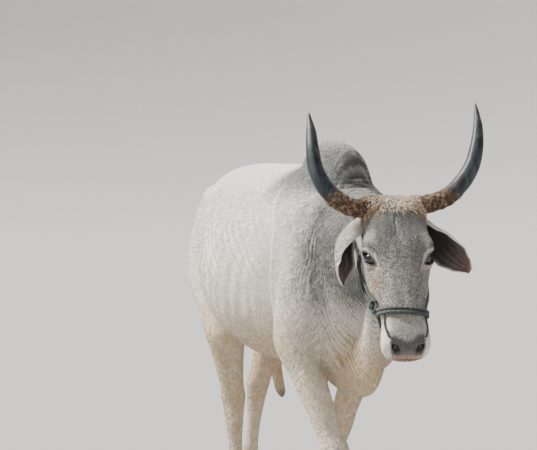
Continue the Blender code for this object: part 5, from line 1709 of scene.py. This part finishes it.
def unwrapped(points, ear):
    # place on the bake map: the angle about the long axis of the head, a leg or the trunk,
    # and the place along it
    x, y, z = points.T
    local = throughHead(points, inward=True)
    onHead, low = headNear(points) > 0.5, z < 0.66
    legX = np.where(y < 0, np.where(x < 0, -0.13, 0.08), np.where(x < 0, -0.12, 0.12))
    legY = np.where(y < -0.28, -0.52, np.where(y < 0.1, -0.18, np.where(x < 0, 0.26, 0.53)))
    angle = np.where(low, np.arctan2(x - legX, y - legY), np.arctan2(x, z - 0.93))
    angle = np.where(onHead, np.arctan2(local[:, 0], local[:, 2] + 0.10), angle) / 6.2832 + 0.5
    along = np.where(low, z, (y + 1.1) / 2.0)
    along = np.where(onHead, -local[:, 1] + 0.2, along)
    isEar = ear[:, 1] > -0.5
    angle = np.where(isEar, ear[:, 0] * 0.5 + 0.5, angle)
    along = np.where(isEar, ear[:, 1], along)
    return np.clip(np.stack([angle, along], axis=1), 0, 0.996)


coatShape = {
    # piece: tufts, length, half width, thickness, lift of the tip
    "coatBarrel": (46000, 0.0150, 0.0012, 0.0007, 0.0011),
    "coatRump": (40000, 0.0150, 0.0012, 0.0007, 0.0011),
    "coatNeck": (48000, 0.0140, 0.0011, 0.0007, 0.0012),
    "coatHead": (46000, 0.0075, 0.0006, 0.0004, 0.0007),
    "coatEars": (16000, 0.0085, 0.0006, 0.0004, 0.0012),
    "coatFore": (40000, 0.0100, 0.0009, 0.0006, 0.0009),
    "coatHind": (44000, 0.0100, 0.0009, 0.0006, 0.0009),
}


def coatWeights():
    # which triangles of the skin each piece of the coat grows on
    tris = skinInfo["tris"]
    middle = skinInfo["points"][tris].mean(1)
    ear = skinInfo["ear"][tris].mean(1)
    x, y, z = middle.T
    local = throughHead(middle, inward=True)
    isEar = ear[:, 1] > -0.5
    wet = skinInfo["marks"][tris, 5].mean(1) > 0.10
    bare = wet | (padMask(local) > 0.1) | (z < hoofTop + 0.006) | (isEar & (ear[:, 2] > 0.3))
    for side in (1, -1):
        nostril = (noseMeasure(local, side) < 1.3) & (local[:, 1] < -0.43)
        bare |= (eyeMeasure(local, side)[3] < 1.45) | nostril
    onHead = (headNear(middle) > 0.5) & ~isEar
    leg = ~isEar & ~onHead & (z < 0.66)
    trunk = ~isEar & ~onHead & ~leg & ~bare
    return {
        "coatBarrel": trunk & (y > -0.26) & (y < 0.20),
        "coatRump": trunk & (y >= 0.20),
        "coatNeck": trunk & (y <= -0.26),
        "coatHead": (onHead & ~bare) * (1.0 + 1.2 * (local[:, 2] > -0.12)),
        "coatEars": isEar & ~bare,
        "coatFore": leg & ~bare & (y < 0.06),
        "coatHind": leg & ~bare & (y >= 0.06),
    }


def coatPieces():
    finish = coatMaterial()
    for number, (name, weight) in enumerate(coatWeights().items()):
        count, length, half, thick, lift = coatShape[name]
        root, chance = scattered(count, weight.astype(float), 200 + number)
        local = throughHead(root["points"], inward=True)
        size = 0.75 + 0.5 * chance.random(count)
        if name == "coatHead":
            size *= 1 - 0.45 * ease(local[:, 1], -0.36, -0.42)
        stray = np.cross(root["normals"], root["lie"]) * (0.45 * (chance.random(count) - 0.5))[:, None]
        way = unit(root["lie"] + stray)
        long = (length * size)[:, None]
        start = root["points"] + root["normals"] * (0.4 * thick - 0.0002)
        tip = onSkin(root["points"] + way * long, lift * size)[0]
        place = unwrapped(root["points"], root["ear"])
        tuftPiece(
            name, np.stack([start, tip], axis=1), (half * size)[:, None], np.full((count, 1), thick),
            root["normals"][:, None], root["marks"], place, finish, chance,
        )


pollLooks = {
    "locks": 3000,
    "length": 0.021,
    "stray": 0.35,
    # heights over the skin from root to tip, and half widths from the root on
    "lift": [-0.0006, 0.0042, 0.0062, 0.0054, 0.0026],
    "half": [0.0007, 0.0010, 0.0009, 0.0006],
}


def pollPiece(finish):
    # locks over the poll and down on to the horns
    count = pollLooks["locks"]
    tris = skinInfo["tris"]
    middle = throughHead(skinInfo["points"][tris].mean(1), inward=True)
    ear = skinInfo["ear"][tris].mean(1)
    hx, hy, hz = middle.T
    zone = (ear[:, 1] < -0.5) & (hy < 0.050) & (np.abs(hx) < 0.095) & (hz > -0.065)
    stray = 0.012 * waver(middle, 70, 91)
    root, chance = scattered(count, zone * ease(hy + stray, -0.058, -0.010), 301)
    local = throughHead(root["points"], inward=True)
    size = 0.6 + 0.6 * chance.random(count)
    forward = 12 * np.abs(local[:, 1] - 0.01) * (local[:, 1] < 0)
    way = np.stack([local[:, 0] * 12, -0.45 - forward, 0 * size], axis=1)
    way += pollLooks["stray"] * chance.normal(size=(count, 3))
    way = unit(way @ np.array(head.to_3x3()).T)
    way = unit(way - (way * root["normals"]).sum(1)[:, None] * root["normals"])
    stations = [root["points"] + root["normals"] * pollLooks["lift"][0]]
    for share, lift in zip((0.25, 0.50, 0.75, 1.0), pollLooks["lift"][1:]):
        reach = pollLooks["length"] * size * share
        stations.append(onSkin(root["points"] + way * reach[:, None], lift * size)[0])
    paths = np.stack(stations, axis=1)
    ups = np.repeat(root["normals"][:, None], 4, axis=1)
    wide = np.array(pollLooks["half"])[None] * size[:, None]
    marks = root["marks"] * 0
    marks[:, 1] = 0.40 + 0.50 * chance.random(count)
    marks[:, 4] = (0.15 + 0.60 * ease(np.abs(local[:, 0]), 0.02, 0.07)) * chance.random(count)
    marks[:, 0] = 0.70 * ease(local[:, 1], -0.005, -0.035) * chance.random(count)
    place = unwrapped(root["points"], root["ear"])
    tuftPiece("pollHair", paths, wide, 0.5 * wide, ups, marks, place, finish, chance)


switchLooks = {
    "strands": 520,
    "middle": (0.034, 0.694),
    "length": 0.20,
    "longer": 0.085,
    # half widths from the root on, and the shares of grey, tan, dark, pink, rust and wet
    "half": [0.0009, 0.0016, 0.0019, 0.0018, 0.0015, 0.0011, 0.0007],
    "marks": [0.9, 0.0, 0.88, 0.0, 0.0, 0.0],
}


def switchPiece(finish):
    # strands hang from the end of the tail, spreading and closing again
    count, rows = switchLooks["strands"], len(switchLooks["half"]) + 1
    chance = np.random.default_rng(302)
    angle, far = chance.random(count) * 6.2832, np.sqrt(chance.random(count))
    share = np.linspace(0, 1, rows)[None]
    length = (switchLooks["length"] + switchLooks["longer"] * chance.random(count))[:, None]
    spread = 0.009 + 0.020 * np.sin(np.minimum(share * 1.25, 1) * math.pi) ** 0.8
    sway = 0.004 * np.sin(share * 6 + angle[:, None])
    x = switchLooks["middle"][0] + (far * np.cos(angle))[:, None] * spread + sway
    y = switchLooks["middle"][1] + (far * np.sin(angle))[:, None] * spread + 0.006 * share
    paths = np.stack([x, y, switchTop + 0.012 - length * share], axis=2)
    outward = np.stack([np.cos(angle), np.sin(angle), 0 * angle], axis=1)
    ups = np.repeat(outward[:, None], rows - 1, axis=1)
    wide, marks = (np.tile(switchLooks[key], (count, 1)) for key in ("half", "marks"))
    place = np.stack([angle / 6.2832, 0.2 + 0.4 * far], axis=1) * 0.99
    tuftPiece(
        "tailSwitch", paths, wide, 0.6 * wide, ups, marks, place, finish, chance, "tail_switch"
    )


def longHair():
    finish = coatMaterial()
    pollPiece(finish)
    switchPiece(finish)


coatPieces()
longHair()
print("coat in place")


# Halter: laid ropes of three strands, drawn taut over the skin

halter = {
    "rope": 0.0056,
    "cord": 0.0030,
    "clear": 0.0016,
    "bands": [(0.0, -0.3400, -0.10), (0.0, -0.3535, -0.10)],
    "lean": 30.0,
    "turn": 5.0,
    "knot": (-0.0800, -0.322, -0.100),
    "knotSize": (0.0052, 0.0066, 0.0050),
    "knotStand": 0.0145,
    "headpiece": [
        (-0.082, -0.312, -0.108), (-0.094, -0.250, -0.134), (-0.098, -0.180, -0.150),
        (-0.100, -0.090, -0.160), (-0.104, -0.010, -0.150), (-0.098, 0.040, -0.110),
        (-0.060, 0.066, -0.060), (0.000, 0.072, -0.045), (0.060, 0.066, -0.060),
        (0.098, 0.040, -0.110), (0.104, -0.012, -0.150), (0.100, -0.095, -0.158),
        (0.098, -0.185, -0.145), (0.092, -0.270, -0.134), (0.076, -0.345, -0.112),
    ],
    "cheek": [
        (-0.080, -0.318, -0.080), (-0.092, -0.260, -0.106), (-0.100, -0.190, -0.120),
        (-0.104, -0.110, -0.120),
    ],
    "chin": [
        (-0.078, -0.336, -0.118), (-0.060, -0.376, -0.160), (0.000, -0.400, -0.176),
        (0.045, -0.392, -0.166), (0.068, -0.370, -0.128),
    ],
    "nose": [
        (0.058, -0.374, -0.062), (0.054, -0.412, -0.069), (0.048, -0.443, -0.072),
        (0.039, -0.470, -0.077),
    ],
    "noseEnd": [(0.0365, -0.4815, -0.0825), (0.0360, -0.4775, -0.0880)],
    "colour": (0.026, 0.036, 0.033),
    "worn": (0.085, 0.102, 0.095),
}


def draped(guide, radius, count):
    # guide points in the head's frame, smoothed and held off the skin
    path = smoothRows(throughHead(guide), count)
    reach = radius + halter["clear"]
    for turn in range(6):
        if turn:
            path[1:-1] = 0.25 * path[:-2] + 0.5 * path[1:-1] + 0.25 * path[2:]
        place, way = onSkin(path, 0.0)
        short = reach - ((path - place) * way).sum(1)
        path = place + way * reach if turn == 0 else path + way * np.maximum(short, 0)[:, None]
    return path


def noseLoop(place, radius, count=120):
    # the skin's section in a leaning plane, drawn tight so that it bridges hollows, and moved out by the rope
    turn, lean = math.radians(halter["turn"]), math.radians(halter["lean"])
    right = np.array([math.cos(turn), -math.sin(turn), 0])
    rise = np.array([0, -math.sin(lean), math.cos(lean)])
    rise = unit(rise - (rise @ right) * right)
    angle = np.linspace(0, 2 * math.pi, count, endpoint=False)
    aim = np.cos(angle)[:, None] * right + np.sin(angle)[:, None] * rise
    start = throughHead(np.array(place) + aim * 0.3)
    centre = throughHead([place])[0]
    hits = [surface.ray_cast(Vector(p), Vector(centre - p).normalized())[0] for p in start]
    reach = np.linalg.norm(np.array([h[:] for h in hits]) - centre, axis=1) + radius + halter["clear"] + 0.0008
    bare = reach.copy()
    chord = 2 * math.cos(2 * math.pi / count)
    for _ in range(900):
        reach = np.maximum(bare, chord / (1 / np.roll(reach, 1) + 1 / np.roll(reach, -1)))
    for _ in range(2):
        reach = 0.25 * np.roll(reach, 1) + 0.5 * reach + 0.25 * np.roll(reach, -1)
    return throughHead(np.array(place) + aim * (reach / 0.97)[:, None])


def laidRope(path, radius, closed=False, sides=8):
    # three round strands turning about the path; points (3 strands, rings, sides) and a map along and around
    path = np.concatenate([path, path[:1]]) if closed else path
    run = np.concatenate([[0], np.cumsum(np.linalg.norm(np.diff(path, axis=0), axis=1))])
    count = max(12, int(run[-1] / (radius * 0.62)))
    wanted = np.linspace(0, run[-1], count, endpoint=not closed)
    path = np.stack([np.interp(wanted, run, path[:, k]) for k in range(3)], axis=1)
    step = np.roll(path, -1, axis=0) - np.roll(path, 1, axis=0) if closed else np.gradient(path, axis=0)
    tangent = unit(step)
    normal = onSkin(path, 0.0)[1]
    normal = unit(normal - (normal * tangent).sum(1)[:, None] * tangent)
    side = np.cross(tangent, normal)
    turns = max(1, round(run[-1] / (radius * 7.5)))
    phase = 2 * math.pi * turns * wanted / run[-1]
    c, s = turnSteps(sides)
    forms = []
    for strand in range(3):
        a = phase + strand * 2 * math.pi / 3
        out = np.cos(a)[:, None] * normal + np.sin(a)[:, None] * side
        centre = path + out * (0.48 * radius)
        around = c[None, :, None] * out[:, None] + s[None, :, None] * np.cross(tangent, out)[:, None]
        rings = centre[:, None] + around * (0.58 * radius)
        if closed:
            rings = np.concatenate([rings, rings[:1]])
        points, faces = closedLoft(rings)
        forms.append((points, [facedOut(points, trianglesOf(faces))]))
    return joined(forms)


def ropeMaterial():
    made, tree, shader = freshMaterial("greenRope")
    place = node(tree, "TexCoord").outputs["Object"]
    fibre = noise(tree, stretched(tree, place, (1.0, 1.0, 0.4)), 900.0, 3.0)
    worn = noise(tree, place, 120.0, 3.0)
    share = sums(tree, "MULTIPLY", ramp(tree, worn, 0.42, 0.66), ramp(tree, fibre, 0.35, 0.65, 0.3, 1.0))
    colour = mixed(tree, share, rgba(halter["colour"]), rgba(halter["worn"]))
    tree.links.new(colour, shader.inputs["Base Color"])
    bump = node(tree, "Bump", {"Height": fibre, "Strength": 0.6, "Distance": 0.0008})
    tree.links.new(bump.outputs[0], shader.inputs["Normal"])
    shader.inputs["Roughness"].default_value = 0.78
    shader.inputs["Sheen Weight"].default_value = 0.15
    return made


def drapedRope(guide, radius, count):
    return laidRope(draped(halter[guide], radius, count), radius)


def halterPieces():
    finish = ropeMaterial()
    rope, cord = halter["rope"], halter["cord"]
    # the knot is a trefoil of rope: sin t + 2 sin 2t, cos t - 2 cos 2t, -sin 3t
    t = np.linspace(0, 2 * math.pi, 90, endpoint=False)
    trefoil = np.stack([np.sin(t) + 2 * np.sin(2 * t), np.cos(t) - 2 * np.cos(2 * t), -np.sin(3 * t)], axis=1)
    trefoil = trefoil * halter["knotSize"]
    spot, way = onSkin(throughHead([halter["knot"]]), 0.0)
    upward = unit(throughHead([halter["headpiece"][2]]) - spot)[0]
    side = unit(np.cross(way[0], upward))
    knotAxes = np.stack([side, np.cross(side, way[0]), way[0]])
    knot = spot[0] + way[0] * halter["knotStand"] + trefoil @ knotAxes
    nose = {}
    for side in (1, -1):
        path = draped([(side * x, y, z) for x, y, z in halter["nose"]], cord, 24)
        end = throughHead([(side * x, y, z) for x, y, z in halter["noseEnd"]])
        line = smoothRows(np.concatenate([path[::3], path[-1:], end]), 48)
        place, way = onSkin(line, 0.0)
        short = np.maximum(cord + 0.0006 - ((line - place) * way).sum(1), 0) * ease(np.arange(48), 47, 44)
        nose[side] = line + way * short[:, None]
    bands = [laidRope(noseLoop(place, rope), rope, True) for place in halter["bands"]]
    pieces = {
        "halterNoseband": ("halter_noseband", bands + [laidRope(knot, rope * 0.9, True)]),
        "halterHeadpiece": ("halter_headpiece", [drapedRope("headpiece", rope, 90)]),
        "halterCheekCord": ("halter_cheek_cord", [drapedRope("cheek", rope * 0.75, 30)]),
        "halterChinRope": ("halter_chin_rope", [drapedRope("chin", rope * 0.85, 30)]),
        "noseCordLeft": ("nose_cord_left", [laidRope(nose[1], cord, sides=6)]),
        "noseCordRight": ("nose_cord_right", [laidRope(nose[-1], cord, sides=6)]),
    }
    for name, (replaced, forms) in pieces.items():
        points, faces = joined(forms)
        made = meshPiece(name, points, faces)
        made.data.materials.append(finish)
        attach(made, "root")
        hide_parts(replaced)


halterPieces()
print("halter in place")
